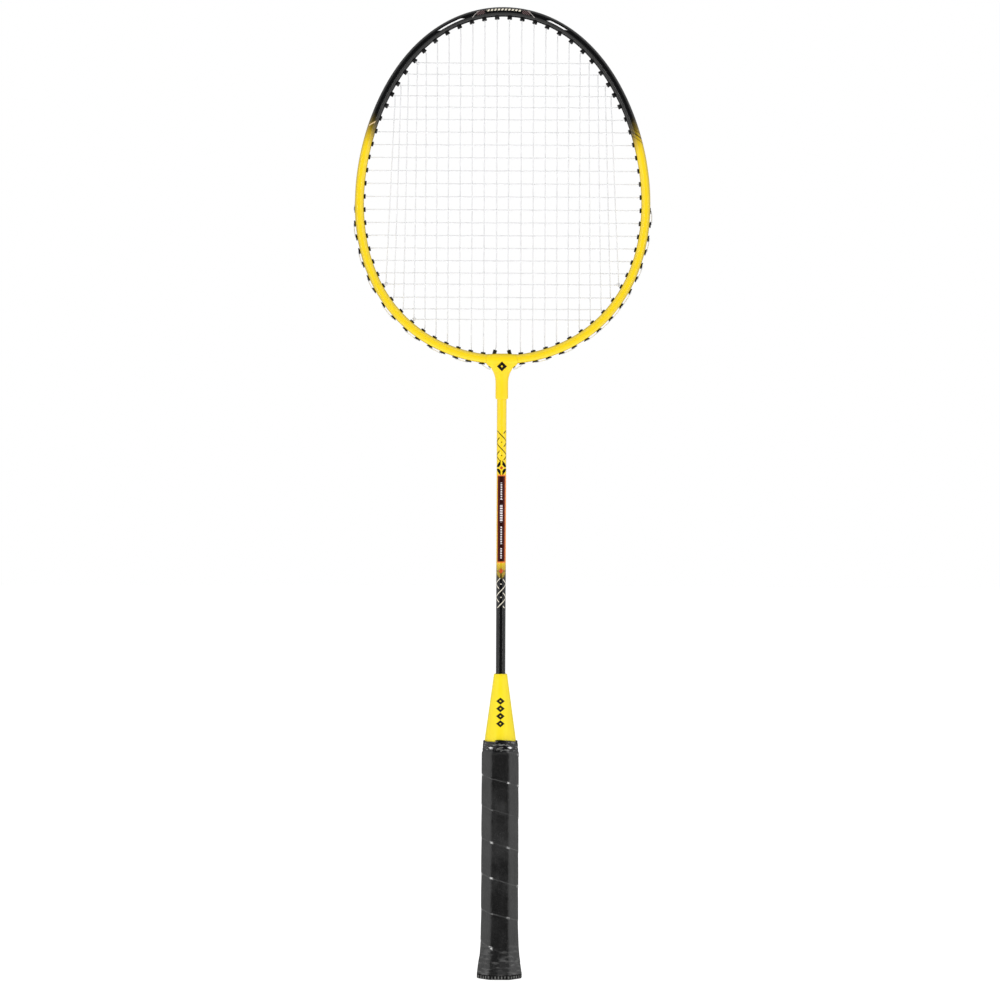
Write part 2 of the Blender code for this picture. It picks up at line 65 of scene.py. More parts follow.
Colour = tuple[float, float, float]
Ring = list[Vector]
Chart = Callable[[int, int], tuple[float, float]]
Socket = bpy.types.NodeSocket
Input = Socket | float | tuple[float, ...]


class Side(Enum):
    """The two halves of the head, as the sign of X."""

    LEFT = -1
    RIGHT = 1


class Cut(Enum):
    """How one solid works on another."""

    TAKE_AWAY = "DIFFERENCE"
    JOIN = "UNION"


class Slot(Enum):
    """The record's material slots, one for each kind of finish; nothing here reads them."""

    HEAD_PAINT = "head_paint"
    SHAFT_PAINT = "shaft_paint"
    YELLOW_PLASTIC = "yellow_plastic"
    GROMMET_NYLON = "grommet_nylon"
    STRING_NYLON = "string_nylon"
    GRIP_FOAM = "grip_foam"
    BLACK_PLASTIC = "black_plastic"
    BLACK_TAPE = "black_tape"


# ---------------------------------------------------------------------------------------------
# Making meshes
# ---------------------------------------------------------------------------------------------


def finish_mesh(name: str, mesh: bpy.types.Mesh, sharp_degrees: float) -> bpy.types.Object:
    """Turns a mesh into an object with outward faces, shaded smooth between its sharp edges.

    Args:
        name: The piece's name.
        mesh: The mesh.
        sharp_degrees: Edges that turn by more than this stay sharp.

    Returns:
        The new object, linked to the scene.
    """
    bm = bmesh.new()
    bm.from_mesh(mesh)
    bmesh.ops.recalc_face_normals(bm, faces=bm.faces)
    bm.to_mesh(mesh)
    bm.free()
    mesh.shade_smooth()
    mesh.set_sharp_from_angle(angle=math.radians(sharp_degrees))
    piece = bpy.data.objects.new(name, mesh)
    bpy.context.scene.collection.objects.link(piece)
    return piece


def turned_chart(
    rings: Sequence[Ring], along: Sequence[float] | None = None, around: Sequence[float] | None = None
) -> Chart:
    """The usual wrap map of a skin: each ring has its own U, and V runs once round the ring.

    Args:
        rings: The rings.
        along: The U of each ring, if they aren't just counted.
        around: The V of each point of a ring and of its first point again, if V isn't even.

    Returns:
        The U and V of a point by its ring and its place in the ring.
    """
    count = len(rings[0])
    ring_values = range(len(rings)) if along is None else along
    turns = [i / count for i in range(count + 1)] if around is None else around
    return lambda ring, i: (ring_values[ring], turns[i])


def skin_rings(
    name: str,
    rings: Sequence[Ring],
    loop: bool = False,
    chart: Chart | None = None,
    sharp_degrees: float = 40.0,
) -> bpy.types.Object:
    """Skins a stack of rings into one closed solid.

    Args:
        name: The piece's name.
        rings: The rings, each with the same number of points.
        loop: True joins the last ring to the first, as for a pipe; False closes both ends flat.
        chart: The wrap map, if it isn't the usual one.
        sharp_degrees: Edges that turn by more than this stay sharp.

    Returns:
        The new object.
    """
    count = len(rings[0])
    chart = chart or turned_chart(rings)
    pairs = list(zip(range(len(rings) - 1), range(1, len(rings))))
    if loop:
        pairs.append((len(rings) - 1, 0))
    faces, maps = [], []
    for low, high in pairs:
        for i in range(count):
            j = (i + 1) % count
            faces.append((low * count + i, low * count + j, high * count + j, high * count + i))
            maps += [chart(low, i), chart(low, i + 1), chart(high, i + 1), chart(high, i)]
    if not loop:
        for end in (0, len(rings) - 1):
            faces.append(tuple(end * count + i for i in range(count)))
            maps += [chart(end, i) for i in range(count)]
    mesh = bpy.data.meshes.new(name)
    mesh.from_pydata([tuple(p) for ring in rings for p in ring], [], faces)
    layer = mesh.uv_layers.new(name=WRAP_UV)
    layer.data.foreach_set("uv", [value for pair in maps for value in pair])
    return finish_mesh(name, mesh, sharp_degrees)


def settle(piece: bpy.types.Object) -> None:
    """Replaces a piece's mesh by what its modifiers make of it, and removes them."""
    depsgraph = bpy.context.evaluated_depsgraph_get()
    mesh = bpy.data.meshes.new_from_object(piece.evaluated_get(depsgraph))
    piece.modifiers.clear()
    piece.data = mesh


def combine(piece: bpy.types.Object, tool: bpy.types.Object, how: Cut) -> None:
    """Works one solid on another and removes the tool.

    Args:
        piece: The solid that is changed.
        tool: The solid that is taken away from it or joined to it.
        how: What is done.
    """
    boolean = piece.modifiers.new("work", "BOOLEAN")
    boolean.operation = how.value
    boolean.solver = "MANIFOLD"
    boolean.object = tool
    settle(piece)
    bpy.data.objects.remove(tool, do_unlink=True)


def joined(name: str, parts: Sequence[bpy.types.Object], sharp_degrees: float) -> bpy.types.Object:
    """One object from several separate solids, which are removed.

    Args:
        name: The new object's name.
        parts: The solids.
        sharp_degrees: Edges that turn by more than this stay sharp.

    Returns:
        The new object.
    """
    bm = bmesh.new()
    for part in parts:
        bm.from_mesh(part.data)
        bpy.data.objects.remove(part, do_unlink=True)
    mesh = bpy.data.meshes.new(name)
    bm.to_mesh(mesh)
    bm.free()
    return finish_mesh(name, mesh, sharp_degrees)


def full_turn(count: int) -> list[float]:
    """Evenly spread angles of one full turn."""
    return [2 * math.pi * i / count for i in range(count)]


def squared(share: float, fullness: float) -> float:
    """A sine or cosine that makes an oval squarer than a circle, for a fullness above 2."""
    return math.copysign(abs(share) ** (2 / fullness), share)


def circle(radius: float, z: float, sides: int) -> Ring:
    """A level ring round the Z axis that starts at the back and runs over the left to the front."""
    return [Vector((-radius * math.sin(a), radius * math.cos(a), z)) for a in full_turn(sides)]


def sweep(path: Sequence[Vector], radius: float, sides: int = 8) -> list[Ring]:
    """Makes the rings of a round cord.

    Args:
        path: The cord's middle line, which never runs along Y.
        radius: Half its thickness.
        sides: How many points each ring has.

    Returns:
        One ring for each point of the path.
    """
    rings = []
    for i, point in enumerate(path):
        before, after = path[max(i - 1, 0)], path[min(i + 1, len(path) - 1)]
        along = (after - before).normalized()
        side = along.cross(Vector((0.0, 1.0, 0.0))).normalized()
        up = side.cross(along)
        rings.append([point + (side * math.cos(a) + up * math.sin(a)) * radius for a in full_turn(sides)])
    return rings


def round_corners(path: Sequence[Vector], passes: int) -> list[Vector]:
    """Cuts the corners of a path until it bends smoothly.

    Args:
        path: The path.
        passes: How often the corners are cut.

    Returns:
        The smoother path, with the same ends.
    """
    points = list(path)
    for _ in range(passes):
        cut = [points[0]]
        for a, b in zip(points, points[1:]):
            cut += [a.lerp(b, 0.25), a.lerp(b, 0.75)]
        points = cut + [points[-1]]
    return points


def path_lengths(path: Sequence[Vector]) -> list[float]:
    """The distance of each point from the path's start."""
    total, lengths = 0.0, [0.0]
    for a, b in zip(path, path[1:]):
        total += (b - a).length
        lengths.append(total)
    return lengths


def between(low: float, high: float, value: float) -> float:
    """A smooth rise from 0 at low to 1 at high."""
    share = min(max((value - low) / (high - low), 0.0), 1.0)
    return share * share * (3 - 2 * share)


def solve(function: Callable[[float], float], low: float, high: float) -> float:
    """Finds the root of a function that changes sign once in a range.

    Args:
        function: The function.
        low: The range's lower end.
        high: The range's upper end.

    Returns:
        The root.
    """
    rising = function(high) > function(low)
    for _ in range(60):
        middle = (low + high) / 2
        if (function(middle) > 0) == rising:
            high = middle
        else:
            low = middle
    return (low + high) / 2


def blob(angle: float, waves: float, height: float) -> float:
    """A soft random value between -1 and 1 round the handle.

    Args:
        angle: The angle round the handle.
        waves: How quickly it changes round the handle.
        height: How far up the random field it is read.

    Returns:
        The value.
    """
    return noise.noise(Vector((math.sin(angle) * waves, math.cos(angle) * waves, height)))


# ---------------------------------------------------------------------------------------------
# Finishes
# ---------------------------------------------------------------------------------------------


class Nodes:
    """The nodes of a material or a world, with a short call for each step."""

    def __init__(self, tree: bpy.types.NodeTree) -> None:
        """Takes the tree that the nodes go into."""
        self.tree = tree

    def node(self, kind: str, inputs: dict[int | str, Input], **settings: str) -> bpy.types.Node:
        """Adds a node.

        Args:
            kind: The node's type, without its ShaderNode prefix.
            inputs: A value or a source for each input, by number or name.
            settings: The node's own options.

        Returns:
            The node.
        """
        made = self.tree.nodes.new("ShaderNode" + kind)
        for key, value in settings.items():
            setattr(made, key, value)
        for key, value in inputs.items():
            if isinstance(value, Socket):
                self.tree.links.new(value, made.inputs[key])
            else:
                made.inputs[key].default_value = value
        return made

    def maths(self, operation: str, *values: Input) -> Socket:
        """One step of arithmetic on one to three values."""
        return self.node("Math", dict(enumerate(values)), operation=operation).outputs[0]

    def add(self, a: Input, b: Input) -> Socket:
        """The sum of two values."""
        return self.maths("ADD", a, b)

    def times(self, a: Input, b: Input) -> Socket:
        """The product of two values."""
        return self.maths("MULTIPLY", a, b)

    def take(self, a: Input, b: Input) -> Socket:
        """The first value less the second."""
        return self.maths("SUBTRACT", a, b)

    def size(self, a: Input) -> Socket:
        """A value without its sign."""
        return self.maths("ABSOLUTE", a)

    def either(self, *masks: Input) -> Socket:
        """The highest of several masks."""
        return reduce(lambda a, b: self.maths("MAXIMUM", a, b), masks)

    def both(self, *masks: Input) -> Socket:
        """The lowest of several masks."""
        return reduce(lambda a, b: self.maths("MINIMUM", a, b), masks)

    def rise(self, value: Input, low: float, high: float, start: float = 0.0, end: float = 1.0) -> Socket:
        """A smooth change from start at low to end at high."""
        inputs = {"Value": value, "From Min": low, "From Max": high, "To Min": start, "To Max": end}
        return self.node("MapRange", inputs, interpolation_type="SMOOTHSTEP").outputs[0]

    def band(self, value: Input, middle: float, half: float, soft: float) -> Socket:
        """1 where a value is within half of the middle, with soft edges."""
        return self.rise(self.size(self.take(value, middle)), half - soft, half + soft, 1.0, 0.0)

    def repeat(self, value: Input, period: float) -> Socket:
        """A value folded into one period, counted from its middle."""
        return self.take(self.maths("FLOORED_MODULO", value, period), period / 2)

    def mix(self, share: Input, first: Input, second: Input, blend: str = "MIX") -> Socket:
        """A colour between two others, or blended from them in another way."""
        pair = [c if isinstance(c, Socket) else (*c, 1.0) for c in (first, second)]
        inputs = {0: share, 6: pair[0], 7: pair[1]}
        return self.node("Mix", inputs, data_type="RGBA", blend_type=blend).outputs[2]

    def spot(self, stretch: Colour | None = None) -> Socket:
        """The place in the piece's own space, stretched along its axes if asked."""
        place = self.node("TexCoord", {}).outputs["Object"]
        if stretch is None:
            return place
        return self.node("Mapping", {"Vector": place, "Scale": stretch}).outputs[0]

    def noise(self, scale: float, detail: float = 3.0, stretch: Colour | None = None) -> Socket:
        """A soft random value in the piece's own space, 0.5 on average."""
        inputs = {"Vector": self.spot(stretch), "Scale": scale, "Detail": detail}
        return self.node("TexNoise", inputs).outputs[0]

    def cells(self, scale: float, stretch: Colour | None = None) -> Socket:
        """The distance to the nearest of many scattered points, as for leather grain."""
        inputs = {"Vector": self.spot(stretch), "Scale": scale}
        return self.node("TexVoronoi", inputs, feature="SMOOTH_F1").outputs[0]

    def axes(self) -> tuple[Socket, Socket, Socket]:
        """X, Y and Z of the place in the piece's own space, in millimetres."""
        split = self.node("SeparateXYZ", {0: self.spot((1000.0, 1000.0, 1000.0))})
        return split.outputs[0], split.outputs[1], split.outputs[2]

    def wrap(self) -> tuple[Socket, Socket]:
        """U and V of the wrap map."""
        split = self.node("SeparateXYZ", {0: self.node("UVMap", {}, uv_map=WRAP_UV).outputs[0]})
        return split.outputs[0], split.outputs[1]


class Graph(Nodes):
    """The nodes of one finish and the shader that they feed."""

    def __init__(self, name: str) -> None:
        """Starts a material with its one shader."""
        self.material = bpy.data.materials.new(name)
        self.material.use_nodes = True
        super().__init__(self.material.node_tree)
        self.shader = self.tree.nodes["Principled BSDF"]

    def set(self, **values: float | tuple[float, ...]) -> None:
        """Sets uniform values on the shader's own sockets; an underscore stands for a space."""
        for key, value in values.items():
            self.shader.inputs[key.replace("_", " ")].default_value = value

    def feed(self, **sources: Socket) -> None:
        """Links values that vary to the shader's sockets; an underscore stands for a space."""
        for key, source in sources.items():
            self.tree.links.new(source, self.shader.inputs[key.replace("_", " ")])

    def bump(self, *layers: tuple[Input, float]) -> None:
        """Lays heights over the surface.

        Args:
            layers: For each layer, its height from 0 to 1 and how deep it is in metres.
        """
        normal = None
        for height, depth in layers:
            inputs = {"Height": height, "Distance": depth, "Strength": 1.0}
            if normal is not None:
                inputs["Normal"] = normal
            normal = self.node("Bump", inputs).outputs[0]
        self.feed(Normal=normal)


@dataclass(frozen=True)
class Lacquer:
    """What the painted head and the painted shaft have in common."""

    black: Colour = (0.0045, 0.0045, 0.005)
    olive: Colour = (0.16, 0.11, 0.008)
    gold: Colour = (0.62, 0.42, 0.012)
    yellow: Colour = (0.955, 0.690, 0.012)
    cream: Colour = (0.86, 0.80, 0.66)
    orange: Colour = (0.90, 0.22, 0.02)
    roughness: float = 0.16

    def fade(self, graph: Graph, darkness: Input) -> Socket:
        """Yellow that turns to black over gold and olive.

        Args:
            graph: The finish's nodes.
            darkness: 0 where it is yellow and 1 where it is black.

        Returns:
            The colour.
        """
        colour = graph.mix(graph.rise(darkness, 0.0, 0.4), self.yellow, self.gold)
        colour = graph.mix(graph.rise(darkness, 0.3, 0.75), colour, self.olive)
        return graph.mix(graph.rise(darkness, 0.65, 1.0), colour, self.black)

    def gloss(self, graph: Graph, colour: Input, matte: Input | None = None) -> bpy.types.Material:
        """The clear coat with its faint orange peel and handling haze over a colour.

        Args:
            graph: The finish's nodes.
            colour: The colour under the coat.
            matte: 1 where a flat ink lies over the coat, if there is one.

        Returns:
            The finish.
        """
        graph.feed(Base_Color=colour)
        haze = graph.noise(260.0, 4.0)
        graph.feed(Roughness=graph.add(self.roughness, graph.times(haze, 0.14)))
        graph.set(IOR=1.5, Specular_IOR_Level=0.5, Coat_Weight=0.5, Coat_Roughness=0.05)
        if matte is not None:
            shine = graph.times(graph.take(1.0, matte), 0.5)
            graph.feed(Specular_IOR_Level=shine)
            graph.feed(Coat_Weight=shine)
        graph.bump((graph.noise(420.0, 2.0), 0.00004), (graph.noise(3800.0, 2.0), 0.000004))
        return graph.material


@dataclass(frozen=True)
class HeadLacquer(Lacquer):
    """Black over the top of the head and yellow below, with printed accents on both faces, two white stripes
    painted on as highlights, and painted shade along the outer edge of the upper part.

    Heights and distances are in millimetres and angles in degrees from the top. A pair holds a
    print's middle and half its length.
    """

    fade_low: float = 564.0
    fade_high: float = 594.0
    half_radial: float = 3.1
    # The two white stripes are painted highlights: reflections of soft light on the glossy tube.
    left_highlight_stripe: tuple[float, float] = (-25.8, 6.0)
    right_highlight_stripe: tuple[float, float] = (26.5, 4.4)
    tick_pitch: float = 1.62
    ticks: tuple[float, float] = (0.0, 8.1)
    slash_angle: float = 13.4
    lattice: tuple[float, float] = (10.7, 1.9)
    lattice_pitch: float = 1.2
    fade_slash_height: float = 584.6
    chevrons: tuple[float, float] = (577.3, 3.4)
    chevron_pitch: float = 3.4
    white: Colour = (0.93, 0.93, 0.93)
    grey: Colour = (0.45, 0.42, 0.40)
    maroon: Colour = (0.22, 0.14, 0.14)
    sand: Colour = (0.80, 0.58, 0.30)
    brown: Colour = (0.03, 0.022, 0.004)
    # Painted shade: this tone darkens the outer edge of the upper head.
    rim_shade_tone: Colour = (0.56, 0.56, 0.50)
    haze_tone: Colour = (0.9, 0.86, 0.8)

    def material(self) -> bpy.types.Material:
        """Builds the finish. U is the angle round the head in degrees; V runs round the tube."""
        graph = Graph("head_lacquer")
        angle, girth = graph.wrap()
        x, _, z = graph.axes()
        fold = graph.size(graph.take(graph.times(girth, 2.0), 1.0))
        across = graph.times(graph.take(0.5, fold), 2.0 * self.half_radial)
        speckle = graph.times(graph.take(graph.noise(900.0, 3.0), 0.5), 5.0)
        height = graph.add(graph.add(z, graph.times(across, 1.2)), speckle)
        right_lift = graph.times(graph.rise(x, -20.0, 20.0), 3.0)
        colour = self.fade(graph, graph.rise(graph.add(height, right_lift), self.fade_low, self.fade_high))
        # Painted shade along the outer edge of the upper head, multiplied with a random haze.
        rim_shade_share = graph.both(graph.rise(across, -3.3, -0.4, 1.0, 0.0), graph.rise(z, 430.0, 500.0))
        rim = graph.mix(rim_shade_share, (1.0, 1.0, 1.0), self.rim_shade_tone)
        tone = graph.mix(graph.times(graph.noise(90.0, 2.0), 0.4), rim, self.haze_tone)
        colour = graph.mix(1.0, colour, tone, "MULTIPLY")
        for mask, ink in self.prints(graph, angle, across, z):
            colour = graph.mix(mask, colour, ink)
        return self.gloss(graph, colour)

    def prints(
        self, graph: Graph, angle: Socket, across: Socket, z: Socket
    ) -> list[tuple[Socket, Colour]]:
        """The accents: two long white stripes painted as highlights, small ticks and lozenges at the top,
        slashes at the fades.

        Args:
            graph: The finish's nodes.
            angle: The angle round the head in degrees, 0 at the top.
            across: The distance in millimetres from the middle of the face, positive towards the inside.
            z: The height in millimetres.

        Returns:
            A mask and an ink for each accent.
        """
        tilt = graph.times(across, 1.6)
        # Painted highlights: two short white stripes along the middle of the face, leaning across it.
        line = graph.band(across, 0.2, 0.44, 0.1)
        left_highlight_stripe = graph.both(graph.band(graph.take(angle, tilt), *self.left_highlight_stripe, 0.2), line)
        right_highlight_stripe = graph.both(graph.band(graph.add(angle, tilt), *self.right_highlight_stripe, 0.2), line)
        leaning = graph.add(angle, graph.times(across, 0.35))
        ticks = graph.both(
            graph.band(graph.repeat(leaning, self.tick_pitch), 0.0, 0.46, 0.12),
            graph.band(across, -1.0, 0.62, 0.1),
            graph.band(angle, *self.ticks, 0.1),
        )
        off_top = graph.size(angle)
        steep = graph.take(off_top, graph.times(across, 1.1))
        slashes = graph.both(
            graph.band(steep, self.slash_angle, 0.2, 0.12),
            graph.band(across, -0.2, 1.7, 0.1),
        )
        lattice = graph.both(
            graph.band(graph.repeat(steep, self.lattice_pitch), 0.0, 0.2, 0.1),
            graph.band(off_top, *self.lattice, 0.1),
            graph.band(across, -0.4, 1.3, 0.1),
        )
        fade_slash = graph.both(
            graph.band(graph.take(z, graph.times(across, 0.75)), self.fade_slash_height, 0.5, 0.25),
            graph.band(across, -0.4, 1.7, 0.3),
            graph.rise(graph.times(angle, -1.0), 10.0, 11.0),
        )
        slope = graph.take(z, graph.times(across, 0.9))
        first = self.chevrons[0] - self.chevron_pitch / 2
        chevrons = graph.both(
            graph.band(graph.repeat(graph.take(slope, first), self.chevron_pitch), 0.0, 0.5, 0.2),
            graph.band(slope, *self.chevrons, 0.2),
            graph.rise(angle, 10.0, 11.0),
            graph.band(across, 0.0, 2.9, 0.1),
        )
        return [
            (graph.either(left_highlight_stripe, right_highlight_stripe), self.white),
            (ticks, self.cream),
            (slashes, self.grey),
            (lattice, self.maroon),
            (fade_slash, self.sand),
            (chevrons, self.brown),
        ]


@dataclass(frozen=True)
class ShaftLacquer(Lacquer):
    """Yellow above, black below, with a printed panel and lines of lozenges on both faces.

    Heights and distances are in millimetres. A chain is the height of one crossing and its two ends.
    """

    radius: float = 3.25
    fade_low: float = 270.0
    fade_high: float = 290.0
    panel: tuple[float, float] = (284.8, 343.4)
    tick_pitch: float = 1.62
    large_ticks: tuple[float, float] = (320.0, 7.5)
    upper_motif: float = 349.0
    lower_motif: float = 278.4
    upper_chain: tuple[float, float, float] = (366.6, 353.6, 374.6)
    lower_chain: tuple[float, float, float] = (260.3, 253.0, 273.4)
    chain_pitch: float = 9.15
    flat_ink: float = 0.3  # inks whose three values add up to less than this have no gloss
    blaze: Colour = (0.93, 0.36, 0.03)
    dark_red: Colour = (0.028, 0.006, 0.005)
    red: Colour = (0.20, 0.018, 0.012)
    pale: Colour = (0.80, 0.74, 0.76)
    soot: Colour = (0.002, 0.003, 0.002)
    rust: Colour = (0.55, 0.075, 0.01)
    umber: Colour = (0.012, 0.010, 0.002)

    def material(self) -> bpy.types.Material:
        """Builds the finish. U is the height in metres; V runs round the tube from the back."""
        graph = Graph("shaft_lacquer")
        rise, turn = graph.wrap()
        z = graph.times(rise, 1000.0)
        half_turns = graph.maths("FRACT", graph.times(graph.add(turn, 0.25), 2.0))
        side = graph.times(graph.take(half_turns, 0.5), math.pi * self.radius)
        speckle = graph.times(graph.take(graph.noise(1500.0, 3.0), 0.5), 6.0)
        darkness = graph.rise(graph.add(z, speckle), self.fade_low, self.fade_high, 1.0, 0.0)
        colour = self.fade(graph, darkness)
        flat = 0.0
        for mask, ink in self.prints(graph, z, side):
            colour = graph.mix(mask, colour, ink)
            flat = graph.either(flat, mask) if sum(ink) < self.flat_ink else flat
        return self.gloss(graph, colour, graph.times(flat, 0.85))

    def chain(
        self, graph: Graph, z: Socket, side: Socket, place: tuple[float, float, float], half: float
    ) -> Socket:
        """Broken diagonal lines that cross as a chain of lozenges, with a dot in each.

        Args:
            graph: The finish's nodes.
            z: The height in millimetres.
            side: The distance round the shaft from the middle of its face, in millimetres.
            place: The height of one crossing and the chain's lower and upper end.
            half: Half the width of a line.

        Returns:
            The mask.
        """
        crossing, low, high = place
        rise = graph.take(z, crossing)
        falling = graph.repeat(graph.add(rise, side), self.chain_pitch)
        rising = graph.repeat(graph.take(rise, side), self.chain_pitch)
        down = graph.band(falling, 0.0, half, 0.12)
        broken = graph.rise(graph.size(side), 1.3, 1.6)
        up = graph.both(graph.band(rising, 0.0, half * 1.15, 0.12), broken)
        level = graph.size(graph.repeat(rise, self.chain_pitch))
        off_dot = graph.add(graph.size(side), graph.size(graph.take(level, self.chain_pitch / 2)))
        dot = graph.rise(off_dot, 0.35, 0.7, 1.0, 0.0)
        within = graph.band(z, (low + high) / 2, (high - low) / 2, 0.2)
        return graph.both(graph.either(down, up, dot), within)

    def lozenge(
        self, graph: Graph, z: Socket, side: Socket, height: float, heart_size: float
    ) -> tuple[Socket, Socket]:
        """A lozenge with four petals round it.

        Args:
            graph: The finish's nodes.
            z: The height in millimetres.
            side: The distance round the shaft from the middle of its face, in millimetres.
            height: The lozenge's middle.
            heart_size: How far the lozenge reaches from it.

        Returns:
            The masks of the lozenge and of the petals.
        """
        rise = graph.size(graph.take(z, height))
        beside = graph.size(side)
        heart = graph.rise(graph.add(rise, beside), heart_size - 0.2, heart_size + 0.15, 1.0, 0.0)
        petals = graph.band(graph.add(graph.times(rise, 0.9), beside), 3.85, 1.45, 0.16)
        petals = graph.both(petals, graph.rise(beside, 0.4, 0.7), graph.rise(rise, 0.4, 0.7))
        return heart, petals

    def ticks(self, graph: Graph, z: Socket, side: Socket) -> Socket:
        """The panel's rows of small ticks, wider over one stretch.

        Args:
            graph: The finish's nodes.
            z: The height in millimetres.
            side: The distance round the shaft from the middle of its face, in millimetres.

        Returns:
            Their mask.
        """
        low, high = self.panel
        rows = graph.band(graph.repeat(graph.take(z, low), self.tick_pitch), 0.0, 0.5, 0.12)
        gaps = graph.rise(graph.maths("SINE", graph.times(z, 0.42)), -0.86, -0.8)
        width = graph.add(0.5, graph.times(graph.band(z, *self.large_ticks, 0.2), 0.4))
        inside = graph.rise(graph.take(width, graph.size(side)), -0.1, 0.1)
        return graph.both(rows, gaps, inside, graph.band(z, (low + high) / 2, (high - low) / 2 - 2.2, 0.1))

    def prints(self, graph: Graph, z: Socket, side: Socket) -> list[tuple[Socket, Colour]]:
        """The printed panel, motifs and lines.

        Args:
            graph: The finish's nodes.
            z: The height in millimetres.
            side: The distance round the shaft from the middle of its face, in millimetres.

        Returns:
            The mask and colour of each layer, from the lowest to the highest.
        """
        middle, half = sum(self.panel) / 2, (self.panel[1] - self.panel[0]) / 2
        border = graph.both(graph.band(z, middle, half + 0.9, 0.35), graph.band(side, 0.2, 3.4, 0.3))
        blaze = graph.both(graph.band(z, middle, half - 1.0, 2.0), graph.band(side, 4.1, 1.5, 1.0))
        panel = graph.both(graph.band(z, middle, half, 0.3), graph.band(side, -0.1, 2.8, 0.3))
        edges = graph.times(graph.rise(graph.size(side), 0.9, 2.6), 0.8)
        upper_heart, upper_petals = self.lozenge(graph, z, side, self.upper_motif, 1.25)
        lower_heart, lower_petals = self.lozenge(graph, z, side, self.lower_motif, 1.9)
        mirrored = graph.times(side, -1.0)
        return [
            (blaze, self.blaze),
            (border, self.orange),
            (panel, self.dark_red),
            (graph.times(graph.both(panel, edges), 0.7), self.red),
            (self.ticks(graph, z, side), self.pale),
            (upper_petals, self.soot),
            (graph.either(upper_heart, lower_heart), self.rust),
            (graph.times(lower_petals, 0.5), self.gold),
            (self.chain(graph, z, side, self.upper_chain, 0.44), self.umber),
            (self.chain(graph, z, mirrored, self.lower_chain, 0.36), self.cream),
        ]


@dataclass(frozen=True)
class YellowPlastic:
    """Injection-moulded yellow plastic with a fine satin grain and a printed column of lozenges.

    The motif's sizes are in millimetres.
    """

    name: str
    motif_heights: tuple[float, ...]
    motif_half_height: float
    motif_half_width: float
    colour: Colour = (0.975, 0.715, 0.006)
    shade: Colour = (0.95, 0.63, 0.003)
    ink: Colour = (0.008, 0.008, 0.008)

    def motif(self, graph: Graph, x: Socket, z: Socket, height: float) -> Socket:
        """The mask of one hollow lozenge."""
        wide = graph.times(graph.size(x), 1.0 / self.motif_half_width)
        tall = graph.times(graph.size(graph.take(z, height)), 1.0 / self.motif_half_height)
        reach = graph.add(wide, tall)
        return graph.both(graph.rise(reach, 0.93, 1.05, 1.0, 0.0), graph.rise(reach, 0.2, 0.28))

    def material(self) -> bpy.types.Material:
        """Builds the finish. The motif is on the front and back faces."""
        graph = Graph(self.name)
        x, y, z = graph.axes()
        colour = graph.mix(graph.times(graph.noise(45.0, 3.0), 0.5), self.colour, self.shade)
        column = graph.either(*(self.motif(graph, x, z, height) for height in self.motif_heights))
        mask = graph.both(column, graph.rise(graph.size(y), 1.5, 2.0))
        scuff = graph.noise(700.0, 4.0, (1.0, 1.0, 0.15))
        graph.feed(
            Base_Color=graph.mix(mask, colour, self.ink),
            Roughness=graph.add(0.27, graph.times(scuff, 0.2)),
        )
        graph.set(
            IOR=1.49,
            Subsurface_Weight=0.12,
            Subsurface_Radius=(0.0012, 0.0008, 0.0002),
            Subsurface_Scale=1.0,
        )
        graph.bump((graph.noise(5200.0, 3.0), 0.000012), (graph.noise(300.0, 2.0), 0.00005))
        return graph.material


@dataclass(frozen=True)
class BlackNylon:
    """Black moulded plastic with a satin skin and slightly dusty, paler high spots."""

    name: str
    colour: Colour = (0.0075, 0.0075, 0.008)
    dust: Colour = (0.028, 0.028, 0.029)
    roughness: float = 0.36
    grain: float = 4200.0

    def material(self) -> bpy.types.Material:
        """Builds the finish."""
        graph = Graph(self.name)
        cloud = graph.noise(380.0, 4.0)
        graph.feed(Base_Color=graph.mix(graph.rise(cloud, 0.45, 0.75), self.colour, self.dust))
        graph.feed(Roughness=graph.add(self.roughness, graph.times(cloud, 0.2)))
        graph.set(IOR=1.5)
        graph.bump((graph.noise(self.grain, 3.0), 0.00002), (graph.noise(520.0, 2.0), 0.00004))
        return graph.material


@dataclass(frozen=True)
class RibbedPlastic:
    """Black moulded plastic whose rib crests are painted pale as highlights, broken up at random."""

    ribs: int
    colour: Colour = (0.006, 0.006, 0.006)
    crest_highlight: Colour = (0.16, 0.16, 0.155)

    def material(self) -> bpy.types.Material:
        """Builds the finish. V runs once round the cap."""
        graph = Graph("ribbed_plastic")
        _, turn = graph.wrap()
        _, _, z = graph.axes()
        wave = graph.maths("SINE", graph.times(turn, 2 * math.pi * self.ribs))
        # Painted highlights: the rib crests along the side of the rim are painted pale, broken up at random.
        painted_highlight = graph.times(graph.rise(wave, 0.1, -0.8), graph.rise(graph.noise(260.0, 3.0), 0.25, 0.6))
        side = graph.both(graph.rise(z, 0.2, 0.8), graph.take(1.0, graph.rise(z, 2.3, 2.7)))
        colour = graph.mix(graph.times(painted_highlight, side), self.colour, self.crest_highlight)
        graph.feed(Base_Color=colour)
        cloud = graph.noise(500.0, 4.0)
        graph.feed(Roughness=graph.add(0.3, graph.times(cloud, 0.25)))
        graph.set(IOR=1.5)
        graph.bump((graph.noise(2600.0, 3.0), 0.00002), (cloud, 0.00005))
        return graph.material


